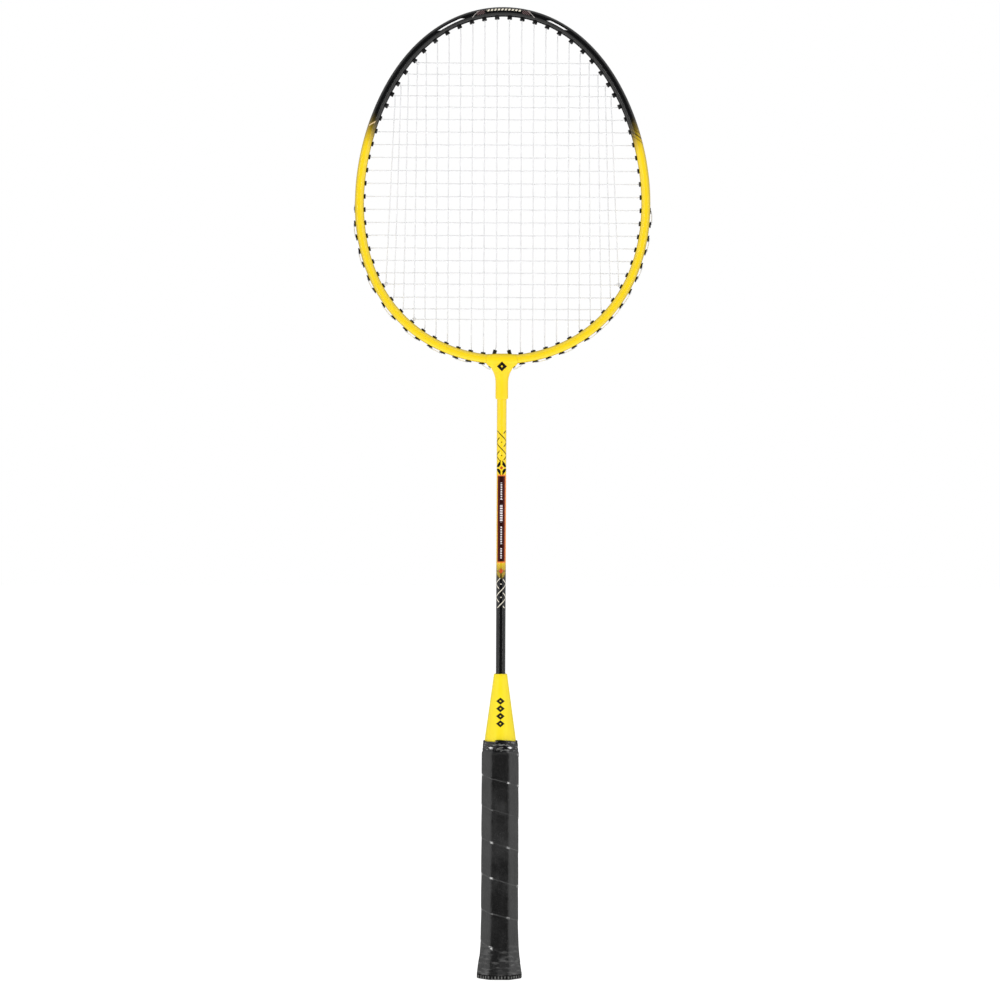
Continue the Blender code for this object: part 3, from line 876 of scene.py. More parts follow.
@dataclass(frozen=True)
class StringNylon:
    """White multifilament nylon: a faint lay of twisted fibres under a clear skin."""

    colour: Colour = (0.82, 0.82, 0.83)
    shade: Colour = (0.68, 0.68, 0.69)
    twist_pitch: float = 0.0011

    def material(self) -> bpy.types.Material:
        """Builds the finish. U is the length along the string in metres; V runs round it."""
        graph = Graph("string_nylon")
        length, turn = graph.wrap()
        lay = graph.add(graph.times(length, 1.0 / self.twist_pitch), graph.times(turn, 4.0))
        ridge = graph.size(graph.take(graph.maths("FRACT", lay), 0.5))
        grime = graph.rise(graph.noise(120.0, 4.0), 0.45, 0.8)
        share = graph.add(graph.times(ridge, 0.35), graph.times(grime, 0.3))
        graph.feed(Base_Color=graph.mix(share, self.colour, self.shade))
        graph.feed(Roughness=graph.add(0.2, graph.times(ridge, 0.16)))
        graph.set(IOR=1.53, Coat_Weight=0.2, Coat_Roughness=0.12)
        graph.bump((ridge, 0.00003))
        return graph.material


@dataclass(frozen=True)
class GripLeather:
    """Soft black synthetic leather: fine pebbled grain, rubbed paler where the hand holds it, with painted
    highlights along the laps and on the crumpled flare.
    """

    corner_turn: float
    colour: Colour = (0.0065, 0.0065, 0.0065)
    pit: Colour = (0.004, 0.004, 0.004)
    rubbed: Colour = (0.040, 0.040, 0.040)
    # Painted highlight tone for the streaks on the flare and the edges of the laps.
    painted_highlight: Colour = (0.075, 0.075, 0.074)
    # Painted glint colour where a lap edge runs over a corner.
    glint_white: Colour = (0.75, 0.75, 0.74)

    def material(self) -> bpy.types.Material:
        """Builds the finish. U counts the turns of the winding; V runs once round the handle."""
        graph = Graph("grip_leather")
        turns, girth = graph.wrap()
        _, _, z = graph.axes()
        pebbles = graph.cells(1500.0, (1.0, 1.0, 0.8))
        wear = graph.rise(graph.noise(55.0, 5.0), 0.42, 0.72)
        streaks = graph.rise(graph.noise(240.0, 4.0, (1.0, 1.0, 0.25)), 0.5, 0.75)
        share = graph.both(graph.add(graph.times(wear, 0.55), graph.times(streaks, 0.35)), 1.0)
        colour = graph.mix(share, self.colour, self.rubbed)
        colour = graph.mix(graph.times(graph.rise(pebbles, 0.0, 0.25), 0.25), colour, self.pit)
        # Painted highlights: pale streaks on the crumpled wrap near the flare.
        wrinkle_highlights = graph.rise(graph.noise(150.0, 5.0, (1.0, 1.0, 3.5)), 0.5, 0.66)
        flared = graph.rise(z, 10.0, 30.0, 1.0, 0.0)
        colour = graph.mix(graph.times(wrinkle_highlights, flared), colour, self.painted_highlight)
        for mask, tone in self.painted_lap_highlights(graph, turns, girth):
            colour = graph.mix(mask, colour, tone)
        graph.feed(Base_Color=colour, Roughness=graph.add(0.33, graph.times(share, 0.2)))
        graph.set(IOR=1.6, Specular_IOR_Level=0.75, Sheen_Weight=0.03, Sheen_Roughness=0.5)
        graph.bump(
            (graph.noise(170.0, 5.0, (1.0, 1.0, 0.6)), 0.0004),
            (graph.noise(420.0, 4.0, (0.6, 0.6, 1.6)), 0.0003),
            (pebbles, 0.0002),
            (graph.cells(4200.0), 0.00004),
        )
        return graph.material

    def painted_lap_highlights(self, graph: Graph, turns: Socket, girth: Socket) -> list[tuple[Socket, Colour]]:
        """The painted highlights of the laps: a pale broken line along each lap's edge, and bright glints
        where it runs over a corner.

        Args:
            graph: The finish's nodes.
            turns: The turns of the winding.
            girth: The turn round the handle.

        Returns:
            A mask and a tone for each.
        """
        ragged = graph.add(turns, graph.times(graph.noise(300.0, 3.0), 0.012))
        lap = graph.band(graph.repeat(graph.add(ragged, 0.5), 1.0), 0.006, 0.012, 0.008)
        broken = graph.rise(graph.noise(130.0, 4.0), 0.3, 0.62)
        near = graph.band(graph.repeat(graph.add(ragged, 0.49), 1.0), 0.0, 0.026, 0.02)
        off_face = graph.size(graph.repeat(graph.add(girth, 0.125), 0.25))
        corner = graph.band(off_face, self.corner_turn, 0.011, 0.009)
        # Painted highlights: bright glints where the lap edges cross the corners, in random patches.
        patches = graph.rise(graph.noise(95.0, 2.0), 0.42, 0.6)
        glint_scatter = graph.times(patches, graph.rise(graph.noise(900.0, 2.0), 0.4, 0.56))
        return [
            (graph.times(graph.times(lap, broken), 0.75), self.painted_highlight),
            (graph.times(graph.both(near, corner), glint_scatter), self.glint_white),
        ]


@dataclass(frozen=True)
class TapeFilm:
    """Glossy stretched black tape with fine creases, with painted highlights in pale streaks and at two folds
    beside each face.
    """

    colour: Colour = (0.005, 0.005, 0.0055)
    crease_tone: Colour = (0.014, 0.014, 0.015)
    # Painted highlight tones: pale streaks, and bright marks at the folds.
    streak_highlight: Colour = (0.28, 0.28, 0.27)
    fold_highlight: Colour = (0.8, 0.8, 0.8)
    fold_turn: float = 0.09
    fold_height: float = 157.9

    def material(self) -> bpy.types.Material:
        """Builds the finish. V runs once round the tape."""
        graph = Graph("tape_film")
        _, girth = graph.wrap()
        _, _, z = graph.axes()
        crease = graph.noise(420.0, 4.0, (1.0, 1.0, 3.2))
        colour = graph.mix(graph.rise(crease, 0.5, 0.8), self.colour, self.crease_tone)
        # Painted highlights: pale streaks over the creases.
        stretched = graph.rise(graph.noise(300.0, 3.0, (1.0, 1.0, 3.6)), 0.56, 0.63)
        colour = graph.mix(graph.times(stretched, 0.5), colour, self.streak_highlight)
        # Painted highlights: a bright mark on each side of the front and back faces, at the valley's height.
        off_face = graph.size(graph.repeat(graph.add(girth, 0.25), 0.5))
        height = graph.add(z, graph.times(graph.take(graph.noise(220.0, 2.0), 0.5), 1.6))
        half = graph.take(0.75, graph.times(graph.size(graph.take(off_face, self.fold_turn)), 28.0))
        fold = graph.rise(graph.take(half, graph.size(graph.take(height, self.fold_height))), -0.1, 0.1)
        graph.feed(
            Base_Color=graph.mix(fold, colour, self.fold_highlight),
            Roughness=graph.add(0.09, graph.times(graph.noise(900.0, 3.0), 0.18)),
        )
        graph.set(IOR=1.52, Coat_Weight=0.4, Coat_Roughness=0.08)
        graph.bump((crease, 0.0004), (graph.noise(150.0, 2.0), 0.0006))
        return graph.material


@dataclass(frozen=True)
class RawAlloy:
    """Extruded aluminium, drawn along X, with a saw-cut sheen."""

    def material(self) -> bpy.types.Material:
        """Builds the finish."""
        graph = Graph("raw_alloy")
        draw = graph.noise(900.0, 4.0, (0.05, 1.0, 1.0))
        graph.feed(Base_Color=graph.mix(draw, (0.62, 0.63, 0.65), (0.80, 0.80, 0.82)))
        graph.feed(Roughness=graph.add(0.26, graph.times(draw, 0.25)))
        graph.set(Metallic=1.0)
        graph.bump((draw, 0.00003))
        return graph.material


@dataclass(frozen=True)
class CoreWood:
    """Sanded pale hardwood with its grain along the handle."""

    def material(self) -> bpy.types.Material:
        """Builds the finish."""
        graph = Graph("core_wood")
        grain = graph.noise(420.0, 5.0, (1.0, 1.0, 0.03))
        figure = graph.noise(60.0, 3.0, (1.0, 1.0, 0.08))
        colour = graph.mix(graph.rise(figure, 0.3, 0.7), (0.60, 0.43, 0.25), (0.47, 0.31, 0.16))
        colour = graph.mix(graph.times(graph.rise(grain, 0.5, 0.8), 0.6), colour, (0.30, 0.18, 0.08))
        graph.feed(Base_Color=colour)
        graph.feed(Roughness=graph.add(0.55, graph.times(grain, 0.2)))
        graph.bump((grain, 0.0001))
        return graph.material


@dataclass(frozen=True)
class StudioPaper:
    """White seamless paper that is lit evenly from behind as well as from above."""

    glow: float = 0.82

    def material(self) -> bpy.types.Material:
        """Builds the finish."""
        graph = Graph("studio_paper")
        fibre = graph.noise(900.0, 4.0)
        graph.feed(Base_Color=graph.mix(fibre, (0.55, 0.55, 0.55), (0.6, 0.6, 0.6)))
        graph.set(Roughness=0.9, Emission_Color=(1.0, 1.0, 1.0, 1.0), Emission_Strength=self.glow)
        graph.bump((fibre, 0.00005))
        return graph.material


# ---------------------------------------------------------------------------------------------
# The head's outline and the string pattern
# ---------------------------------------------------------------------------------------------


@dataclass(frozen=True)
class HeadOutline:
    """The head's outer edge: an egg with t = 0 at the top and t = pi at the T joint."""

    half_width: float = 102.9 * MM
    taper: float = 0.1966
    fullness: float = 0.0373
    half_height: float = 122.3 * MM
    flattening: float = 7.3 * MM
    centre_z: float = 549.8 * MM

    def point(self, t: float) -> Vector:
        """A point of the outer edge."""
        width = 1 - self.taper * math.cos(t) + self.fullness * math.cos(2 * t)
        x = self.half_width * math.sin(t) * width
        z = self.centre_z + self.half_height * math.cos(t) - self.flattening * math.cos(2 * t)
        return Vector((x, 0.0, z))

    def forward(self, t: float) -> Vector:
        """The direction along the edge, clockwise as seen from the front."""
        step = 1e-4
        return (self.point(t + step) - self.point(t - step)).normalized()

    def outward(self, t: float) -> Vector:
        """The direction straight out of the edge, in the plane of the head."""
        along = self.forward(t)
        return Vector((-along.z, 0.0, along.x))

    def place(self, t: float, radial: float, depth: float = 0.0) -> Vector:
        """A point by its distance outside the edge and its depth along Y."""
        return self.point(t) + self.outward(t) * radial + Vector((0.0, depth, 0.0))


@dataclass(frozen=True)
class TubeSection:
    """The head tube's cross-section: a soft oblong with a groove along its outer face."""

    radial: float = 6.2 * MM
    depth: float = 10.0 * MM
    wall: float = 1.2 * MM
    outer_fullness: float = 3.0
    inner_fullness: float = 2.15
    groove_depth: float = 1.9 * MM
    groove_half_width: float = 2.35 * MM
    groove_lip_inside: float = 0.55 * MM
    groove_lip_outside: float = 0.1 * MM
    groove_end_degrees: float = 104.0
    groove_fade: float = 0.05
    sides: int = 60
    fine: int = 1440

    def groove(self, t: float) -> float:
        """How deep the groove is at an angle round the head: it runs out below the widest part."""
        end = math.radians(self.groove_end_degrees)
        return self.groove_depth * (1 - between(end - self.groove_fade, end + self.groove_fade, abs(t)))

    def oblong(self, inset: float) -> list[tuple[float, float]]:
        """The section without its groove.

        Args:
            inset: How far inside the tube's surface it lies.

        Returns:
            Evenly spaced (radial, depth) points round the tube's centre: outside first, then in front.
        """
        shape = []
        for a in (*full_turn(self.fine), 2 * math.pi):
            fullness = self.outer_fullness if math.cos(a) > 0 else self.inner_fullness
            radial = squared(math.cos(a), fullness) * (self.radial / 2 - inset)
            depth = -squared(math.sin(a), fullness) * (self.depth / 2 - inset)
            shape.append(Vector((radial, depth)))
        lengths = path_lengths(shape)
        points, step = [], 0
        for k in range(self.sides):
            while lengths[step] < lengths[-1] * k / self.sides:
                step += 1
            points.append((shape[step].x, shape[step].y))
        return points

    def points(self, inset: float, groove: float) -> list[tuple[float, float]]:
        """The section with its groove cut in.

        Args:
            inset: How far inside the tube's surface it lies.
            groove: How deep the groove is.

        Returns:
            Its (radial, depth) points, counted radially from the outer edge.
        """
        half = self.groove_half_width + inset
        placed = []
        for radial, depth in self.oblong(inset):
            if radial > 0:
                edge = (half - self.groove_lip_inside, half + self.groove_lip_outside)
                inside = 1 - between(*edge, abs(depth))
                radial = min(radial, radial + (self.radial / 2 - inset - groove - radial) * inside)
            placed.append((radial - self.radial / 2, depth))
        return placed

    def across(self) -> list[float]:
        """V for each point: 0 and 1 at the outer edge, 0.25 in front, 0.5 inside, 0.75 behind."""
        half = self.radial / 2
        values = []
        for radial, depth in self.oblong(0.0):
            radial = half if radial > 0 and abs(depth) < self.groove_half_width else radial
            share = (half - radial) / half / 4
            values.append(share if depth <= 0 else 1 - share)
        return values + [1.0]


@dataclass
class StringPattern:
    """Where the 22 main and 22 cross strings run, and the angles of their holes round the head."""

    outline: HeadOutline
    section: TubeSection
    mains_per_side: int = 11
    main_pitch: float = 8.56 * MM
    main_closing: float = 0.0075 * MM
    crosses: int = 22
    cross_pitch: float = 9.01 * MM
    cross_closing: float = 0.00445 * MM
    cross_centre_z: float = 539.3 * MM
    shared_holes: int = 4
    shared_lean: float = 0.5
    shared_lean_step: float = 0.15
    flange: float = 0.7 * MM
    long_barrel: float = 1.9 * MM
    short_barrel: float = 1.1 * MM
    long_barrel_degrees: float = 70.0
    throat_mouth_z: float = 431.0 * MM
    throat_exit: tuple[float, float] = (8.0 * MM, 417.8 * MM)
    angles: list[float] = field(default_factory=list)
    main_tops: dict[int, int] = field(default_factory=dict)
    main_bottoms: dict[int, int] = field(default_factory=dict)
    cross_sides: dict[int, int] = field(default_factory=dict)

    def __post_init__(self) -> None:
        """Finds the holes of the right side, from the top round to the T joint."""
        single = self.mains_per_side - self.shared_holes
        for number in range(1, single + 1):
            self.main_tops[number] = len(self.angles)
            self.angles.append(self.main_hole(number, True))
        for step in range(1, self.shared_holes + 1):
            self.main_tops[single + step] = self.cross_sides[step] = len(self.angles)
            share = self.shared_lean - self.shared_lean_step * (step - 1)
            by_main, by_cross = self.main_hole(single + step, True), self.cross_hole(step)
            self.angles.append(share * by_main + (1 - share) * by_cross)
        for number in range(self.shared_holes + 1, self.crosses - self.shared_holes + 1):
            self.cross_sides[number] = len(self.angles)
            self.angles.append(self.cross_hole(number))
        for step in range(self.shared_holes, 0, -1):
            row = self.crosses + 1 - step
            self.main_bottoms[single + step] = self.cross_sides[row] = len(self.angles)
            self.angles.append((self.main_hole(single + step, False) + self.cross_hole(row)) / 2)
        for number in range(single, 0, -1):
            self.main_bottoms[number] = len(self.angles)
            self.angles.append(self.main_hole(number, False))

    @property
    def throat(self) -> int:
        """The index of the hole that passes through the T joint."""
        return len(self.angles) - 1

    def main_x(self, number: int) -> float:
        """Distance of a main string from the middle, for number 1 to 11."""
        steps = number - 0.5
        return self.main_pitch * steps - self.main_closing * steps**3

    def cross_z(self, number: int) -> float:
        """Height of a cross string, for number 1, the top one, to 22."""
        steps = self.crosses / 2 + 0.5 - number
        return self.cross_centre_z + self.cross_pitch * steps - self.cross_closing * steps**3

    def reach(self, t: float) -> float:
        """How far a grommet's barrel stands out inside the head."""
        near_top = abs(t) < math.radians(self.long_barrel_degrees)
        return self.long_barrel if near_top else self.short_barrel

    def seat(self, t: float) -> float:
        """How far outside the head's edge a grommet's flange rests, less than 0 in the groove."""
        return GAP - self.section.groove(t)

    def mouth(self, t: float) -> Vector:
        """The centre of a barrel's inner end."""
        return self.outline.place(t, -self.section.radial - self.reach(t))

    def main_hole(self, number: int, upper: bool) -> float:
        """Angle of a main string's hole on the right side."""
        low, high = (0.0, math.radians(85)) if upper else (math.radians(95), math.pi)
        return solve(lambda t: self.mouth(t).x - self.main_x(number), low, high)

    def cross_hole(self, number: int) -> float:
        """Angle of a cross string's hole on the right side."""
        low, high = math.radians(20), math.radians(160)
        return solve(lambda t: self.mouth(t).z - self.cross_z(number), low, high)

    def axis(self, index: int, side: Side) -> tuple[Vector, Vector]:
        """The middle line of a grommet's bore.

        Args:
            index: The hole's place in the list of angles.
            side: The half of the head that it is in.

        Returns:
            The bore's inner and outer end.
        """
        if index == self.throat:
            inner = Vector((self.main_x(1), 0.0, self.throat_mouth_z))
            outer = Vector((self.throat_exit[0], 0.0, self.throat_exit[1]))
        else:
            t = self.angles[index]
            inner = self.mouth(t)
            outer = self.outline.place(t, self.seat(t) + self.flange)
        flip = Vector((side.value, 1.0, 1.0))
        return inner * flip, outer * flip


# ---------------------------------------------------------------------------------------------
# Sub-assemblies
# ---------------------------------------------------------------------------------------------


def dress(piece: bpy.types.Object, material: bpy.types.Material, slot: Slot, *nodes: str) -> None:
    """Gives a piece its finish, its body and the nodes that it stands for.

    Args:
        piece: The piece.
        material: Its finish.
        slot: Not used.
        nodes: The nodes that it stands for.
    """
    piece.data.materials.clear()
    piece.data.materials.append(material)
    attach(piece, ROOT)
    if nodes:
        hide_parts(*nodes)
    LOG.info("%s: %d faces", piece.name, len(piece.data.polygons))


def dress_node(node: bpy.types.Object, material: bpy.types.Material) -> None:
    """Gives a node that keeps its own shape a better finish."""
    if not node.material_slots:
        node.data.materials.append(material)
    for slot in node.material_slots:
        slot.link = "OBJECT"
        slot.material = material
    LOG.info("%s: keeps its shape", node.name)


@dataclass
class HeadFrame:
    """The bent, drilled and painted tube of the head."""

    outline: HeadOutline
    section: TubeSection
    pattern: StringPattern
    stations: int = 560
    end_gap: float = 0.4 * MM
    hole_radius: float = 2.0 * MM
    throat_hole_radius: float = 2.06 * MM
    hole_overshoot: float = 1.0 * MM
    hole_sides: int = 20
    sharp_degrees: float = 50.0

    def ring(self, t: float, inset: float) -> Ring:
        """One ring of the tube's skin."""
        points = self.section.points(inset, self.section.groove(t))
        return [self.outline.place(t, r, d) for r, d in points]

    def holes(self) -> bpy.types.Object:
        """All the holes, as one tool."""
        parts = []
        for side in Side:
            for index in range(len(self.pattern.angles)):
                inner, outer = self.pattern.axis(index, side)
                beyond = (outer - inner).normalized() * self.hole_overshoot
                radius = self.throat_hole_radius if index == self.pattern.throat else self.hole_radius
                rings = sweep([inner - beyond, outer + beyond], radius, self.hole_sides)
                parts.append(skin_rings(f"hole_{side.name}_{index}", rings))
        return joined("holes", parts, 40)

    def build(self, material: bpy.types.Material) -> None:
        """Makes the tube and dresses it."""
        end = solve(lambda t: self.outline.point(t).x - self.end_gap, math.radians(150), math.pi)
        angles = [end * (2 * i / (self.stations - 1) - 1) for i in range(self.stations)]
        outer = [self.ring(t, 0.0) for t in angles]
        inner = [self.ring(t, self.section.wall) for t in reversed(angles)]
        degrees = [math.degrees(t) for t in angles]
        chart = turned_chart(outer + inner, degrees + degrees[::-1], self.section.across())
        tube = skin_rings("head_tube", outer + inner, True, chart, self.sharp_degrees)
        combine(tube, self.holes(), Cut.TAKE_AWAY)
        tube.data.set_sharp_from_angle(angle=math.radians(self.sharp_degrees))
        dress(tube, material, Slot.HEAD_PAINT, "head_frame")


@dataclass
class Grommets:
    """The sleeves that guard the strings where they pass through the head."""

    outline: HeadOutline
    pattern: StringPattern
    sides: int = 28
    bore: float = 1.15 * MM
    barrel: float = 1.62 * MM
    lip: float = 1.7 * MM
    slim: float = 0.84  # the throat sleeves' thickness next to the other barrels'
    throat_recess: float = 1.2 * MM
    flange_half_length: float = 2.2 * MM
    flange_half_width: float = 1.9 * MM
    flange_fullness: float = 4.0
    sharp_degrees: float = 50.0

    def oval(self, half_length: float, half_width: float, fullness: float = 2.0) -> list[tuple[float, float]]:
        """An oval outline: round for a fullness of 2, and squarer above it."""
        return [
            (squared(math.cos(a), fullness) * half_length, squared(math.sin(a), fullness) * half_width)
            for a in full_turn(self.sides)
        ]

    def barrel_steps(self, depth: float) -> list[tuple[float, float]]:
        """The profile of a barrel, from its bore out over its lip.

        Args:
            depth: How far inside the head's outer edge the barrel starts.

        Returns:
            (radial, radius) of each step.
        """
        return [
            (-depth + 0.25 * MM, self.bore),
            (-depth + 0.05 * MM, self.bore + 0.08 * MM),
            (-depth, self.bore + 0.25 * MM),
            (-depth + 0.10 * MM, self.lip - 0.08 * MM),
            (-depth + 0.35 * MM, self.lip),
            (-depth + 0.75 * MM, self.lip - 0.02 * MM),
            (-depth + 1.0 * MM, self.barrel - 0.06 * MM),
        ]

    def flange_steps(self, seat: float, top: float) -> list[tuple[float, float]]:
        """The profile of a flange's rounded edge.

        Args:
            seat: Where the flange rests.
            top: Where it ends.

        Returns:
            (radial, inset) of each step, from the seat to the top.
        """
        return [
            (seat, 0.25 * MM),
            (seat + 0.12 * MM, 0.0),
            (top - 0.25 * MM, 0.0),
            (top - 0.05 * MM, 0.15 * MM),
            (top, 0.4 * MM),
        ]

    def grommet(self, name: str, t: float) -> bpy.types.Object:
        """One grommet: a barrel through the tube with a flange outside it.

        Args:
            name: The piece's name.
            t: Its angle round the head.

        Returns:
            The piece.
        """
        out, along, origin = self.outline.outward(t), self.outline.forward(t), self.outline.point(t)
        depth = Vector((0.0, 1.0, 0.0))
        seat = self.pattern.seat(t)
        top = seat + self.pattern.flange
        barrel = self.barrel_steps(self.pattern.section.radial + self.pattern.reach(t))
        barrel.append((seat - 0.1 * MM, self.barrel))
        layers = [(height, self.oval(radius, radius)) for height, radius in barrel]
        for height, inset in self.flange_steps(seat, top):
            length, width = self.flange_half_length - inset, self.flange_half_width - inset
            layers.append((height, self.oval(length, width, self.flange_fullness)))
        for height, radius in ((top, self.bore + 0.2 * MM), (top - 0.2 * MM, self.bore)):
            layers.append((height, self.oval(radius, radius)))
        rings = [[origin + out * h + along * u + depth * v for u, v in oval] for h, oval in layers]
        return skin_rings(name, rings, loop=True, sharp_degrees=self.sharp_degrees)

    def sleeve(self, name: str, side: Side) -> bpy.types.Object:
        """One of the two plain sleeves through the T joint.

        Args:
            name: The piece's name.
            side: The side that it is on.

        Returns:
            The piece.
        """
        inner, outer = self.pattern.axis(self.pattern.throat, side)
        along = (outer - inner).normalized()
        inner = inner + along * self.throat_recess
        length = (outer - inner).length
        across = along.cross(Vector((0.0, 1.0, 0.0)))
        steps = [(height + length, min(radius, self.barrel)) for height, radius in self.barrel_steps(length)]
        steps += [(length - 0.15 * MM, self.barrel), (length, self.barrel - 0.15 * MM), (length, self.bore)]
        rings = []
        for height, radius in steps:
            oval = self.oval(radius * self.slim, radius * self.slim)
            rings.append([inner + along * height + across * u + Vector((0.0, v, 0.0)) for u, v in oval])
        return skin_rings(name, rings, loop=True, sharp_degrees=self.sharp_degrees)

    def build(self, material: bpy.types.Material) -> None:
        """Makes all the grommets and dresses them."""
        for side in Side:
            word = side.name.lower()
            for index, t in enumerate(self.pattern.angles[:-1]):
                node = "grommet_top" if index == 0 else f"grommet_{word}_{(index + 1) // 2:02d}"
                piece = self.grommet(f"sleeve_{word}_{index + 1:02d}", side.value * t)
                dress(piece, material, Slot.GROMMET_NYLON, node)
            piece = self.sleeve(f"throat_sleeve_{word}", side)
            dress(piece, material, Slot.GROMMET_NYLON, f"throat_grommet_{word}")


@dataclass
class StringBed:
    """The woven main and cross strings, with their turns outside the head and their knots."""

    outline: HeadOutline
    pattern: StringPattern
    radius: float = 0.35 * MM
    weave: float = 0.37 * MM
    plane: float = 0.5 * MM
    clear: float = 0.42 * MM
    throat_loop: float = 1.7 * MM
    lead: float = 1.3 * MM  # how far a string runs straight in front of a grommet
    tail: float = 2.0 * MM  # how far its end goes into its last grommet
    knot_size: float = 0.34 * MM
    knot_lead: float = 1.6 * MM
    knot_steps: int = 48
    sharp_degrees: float = 70.0

    def columns(self) -> list[tuple[int, Side]]:
        """The main strings from left to right."""
        numbers = range(1, self.pattern.mains_per_side + 1)
        return [(n, Side.LEFT) for n in reversed(numbers)] + [(n, Side.RIGHT) for n in numbers]

    def turn(self, first: tuple[int, Side], second: tuple[int, Side], depth: float) -> list[Vector]:
        """A string's way from one hole's mouth, round outside the tube, to the next hole's mouth.

        Args:
            first: The hole that it leaves by and its side.
            second: The hole that it comes back through and its side.
            depth: How far back from the middle of the tube it runs.

        Returns:
            The points of the way.
        """
        points = []
        for (index, side), backwards in ((first, False), (second, True)):
            inner, outer = self.pattern.axis(index, side)
            along = (outer - inner).normalized()
            loop = self.throat_loop if index == self.pattern.throat else self.clear
            leg = [inner - along * self.lead, inner, outer, outer + along * loop]
            points.extend(reversed(leg) if backwards else leg)
        (index_a, side_a), (index_b, side_b) = first, second
        if self.pattern.throat not in (index_a, index_b):
            angles = self.pattern.angles
            middle = (side_a.value * angles[index_a] + side_b.value * angles[index_b]) / 2
            outside = self.pattern.seat(middle) + self.pattern.flange + self.clear
            points.insert(4, self.outline.place(middle, outside))
        return [point + Vector((0.0, depth, 0.0)) for point in points]

    def end(self, index: int, side: Side, depth: float) -> list[Vector]:
        """The end of a string, from the bed into its own grommet."""
        inner, outer = self.pattern.axis(index, side)
        along = (outer - inner).normalized()
        points = (inner - along * self.lead, inner, inner + along * self.tail)
        return [point + Vector((0.0, depth, 0.0)) for point in points]

    def weave_between(
        self, start: Vector, end: Vector, crossings: Sequence[float], axis: int, over: int
    ) -> list[Vector]:
        """The points of a string between two mouths, over and under the strings that it meets.

        Args:
            start: Where it leaves the first mouth.
            end: Where it reaches the second.
            crossings: Where the other strings lie, along the given axis.
            axis: 0 if it crosses them along X, 2 along Z.
            over: 1 if it passes behind the first one, -1 if in front.

        Returns:
            The points between the mouths.
        """
        places = [(c - start[axis]) / (end[axis] - start[axis]) for c in crossings]
        places = sorted(p for p in places if 0.004 < p < 0.996)
        points = []
        for i, place in enumerate(places):
            point = start.lerp(end, place)
            point.y = over * self.weave
            points.append(point)
            over = -over
            if i + 1 < len(places):
                middle = start.lerp(end, (place + places[i + 1]) / 2)
                middle.y = 0.0
                points.append(middle)
        return points

    def main_route(self) -> list[Vector]:
        """The main string's route, up and down the bed from left to right."""
        columns = self.columns()
        rows = [self.pattern.cross_z(n) for n in range(1, self.pattern.crosses + 1)]
        tops, bottoms = self.pattern.main_tops, self.pattern.main_bottoms
        number, side = columns[0]
        route = list(reversed(self.end(bottoms[number], side, self.plane)))
        for order, (here, there) in enumerate(zip(columns, columns[1:])):
            holes = tops if order % 2 == 0 else bottoms
            turn = self.turn((holes[here[0]], here[1]), (holes[there[0]], there[1]), self.plane)
            route += self.weave_main(route[-1], turn[0], rows, order)
            route += turn
        number, side = columns[-1]
        last = self.end(bottoms[number], side, self.plane)
        route += self.weave_main(route[-1], last[0], rows, len(columns) - 1)
        return route + last

    def weave_main(self, start: Vector, end: Vector, rows: Sequence[float], order: int) -> list[Vector]:
        """One main string's woven stretch: order is its number from the left, from 0."""
        met = [k for k, z in enumerate(rows) if min(start.z, end.z) < z < max(start.z, end.z)]
        first = met[0] if start.z > end.z else met[-1]
        over = 1 if (first + order) % 2 == 0 else -1
        return self.weave_between(start, end, [rows[k] for k in met], 2, over)

    def cross_route(self) -> list[Vector]:
        """The cross string's route, side to side from the top row to the bottom row."""
        rows = range(1, self.pattern.crosses + 1)
        lines = [side.value * self.pattern.main_x(n) for n, side in self.columns()]
        sides = self.pattern.cross_sides
        side, other = Side.RIGHT, Side.LEFT
        route = list(reversed(self.end(sides[1], other, -self.plane)))
        for here, there in zip(rows, rows[1:]):
            turn = self.turn((sides[here], side), (sides[there], side), -self.plane)
            route += self.weave_cross(route[-1], turn[0], lines, here - 1)
            route += turn
            side, other = other, side
        last = self.end(sides[rows[-1]], side, -self.plane)
        route += self.weave_cross(route[-1], last[0], lines, rows[-1] - 1)
        return route + last

    def weave_cross(self, start: Vector, end: Vector, lines: Sequence[float], row: int) -> list[Vector]:
        """One cross string's woven stretch: row is its number from the top, from 0."""
        met = [k for k, x in enumerate(lines) if min(start.x, end.x) < x < max(start.x, end.x)]
        first = met[0] if start.x < end.x else met[-1]
        over = -1 if (first + row) % 2 == 0 else 1
        return self.weave_between(start, end, [lines[k] for k in met], 0, over)

    def cord(self, name: str, route: Sequence[Vector]) -> bpy.types.Object:
        """A string as a round cord along its route."""
        path = round_corners(route, 2)
        rings = sweep(path, self.radius)
        chart = turned_chart(rings, path_lengths(path))
        return skin_rings(name, rings, chart=chart, sharp_degrees=self.sharp_degrees)

    def knot(self, name: str, centre: Vector) -> bpy.types.Object:
        """A small tight knot about its centre."""
        path = []
        for a in (*full_turn(self.knot_steps), 2 * math.pi):
            offset = (math.sin(a) + 2 * math.sin(2 * a), -math.sin(3 * a), math.cos(a) - 2 * math.cos(2 * a))
            path.append(centre + Vector(offset) * self.knot_size)
        rings = sweep(path, self.radius)[:-1]
        chart = turned_chart(rings, path_lengths(path[:-1]))
        return skin_rings(name, rings, True, chart, self.sharp_degrees)

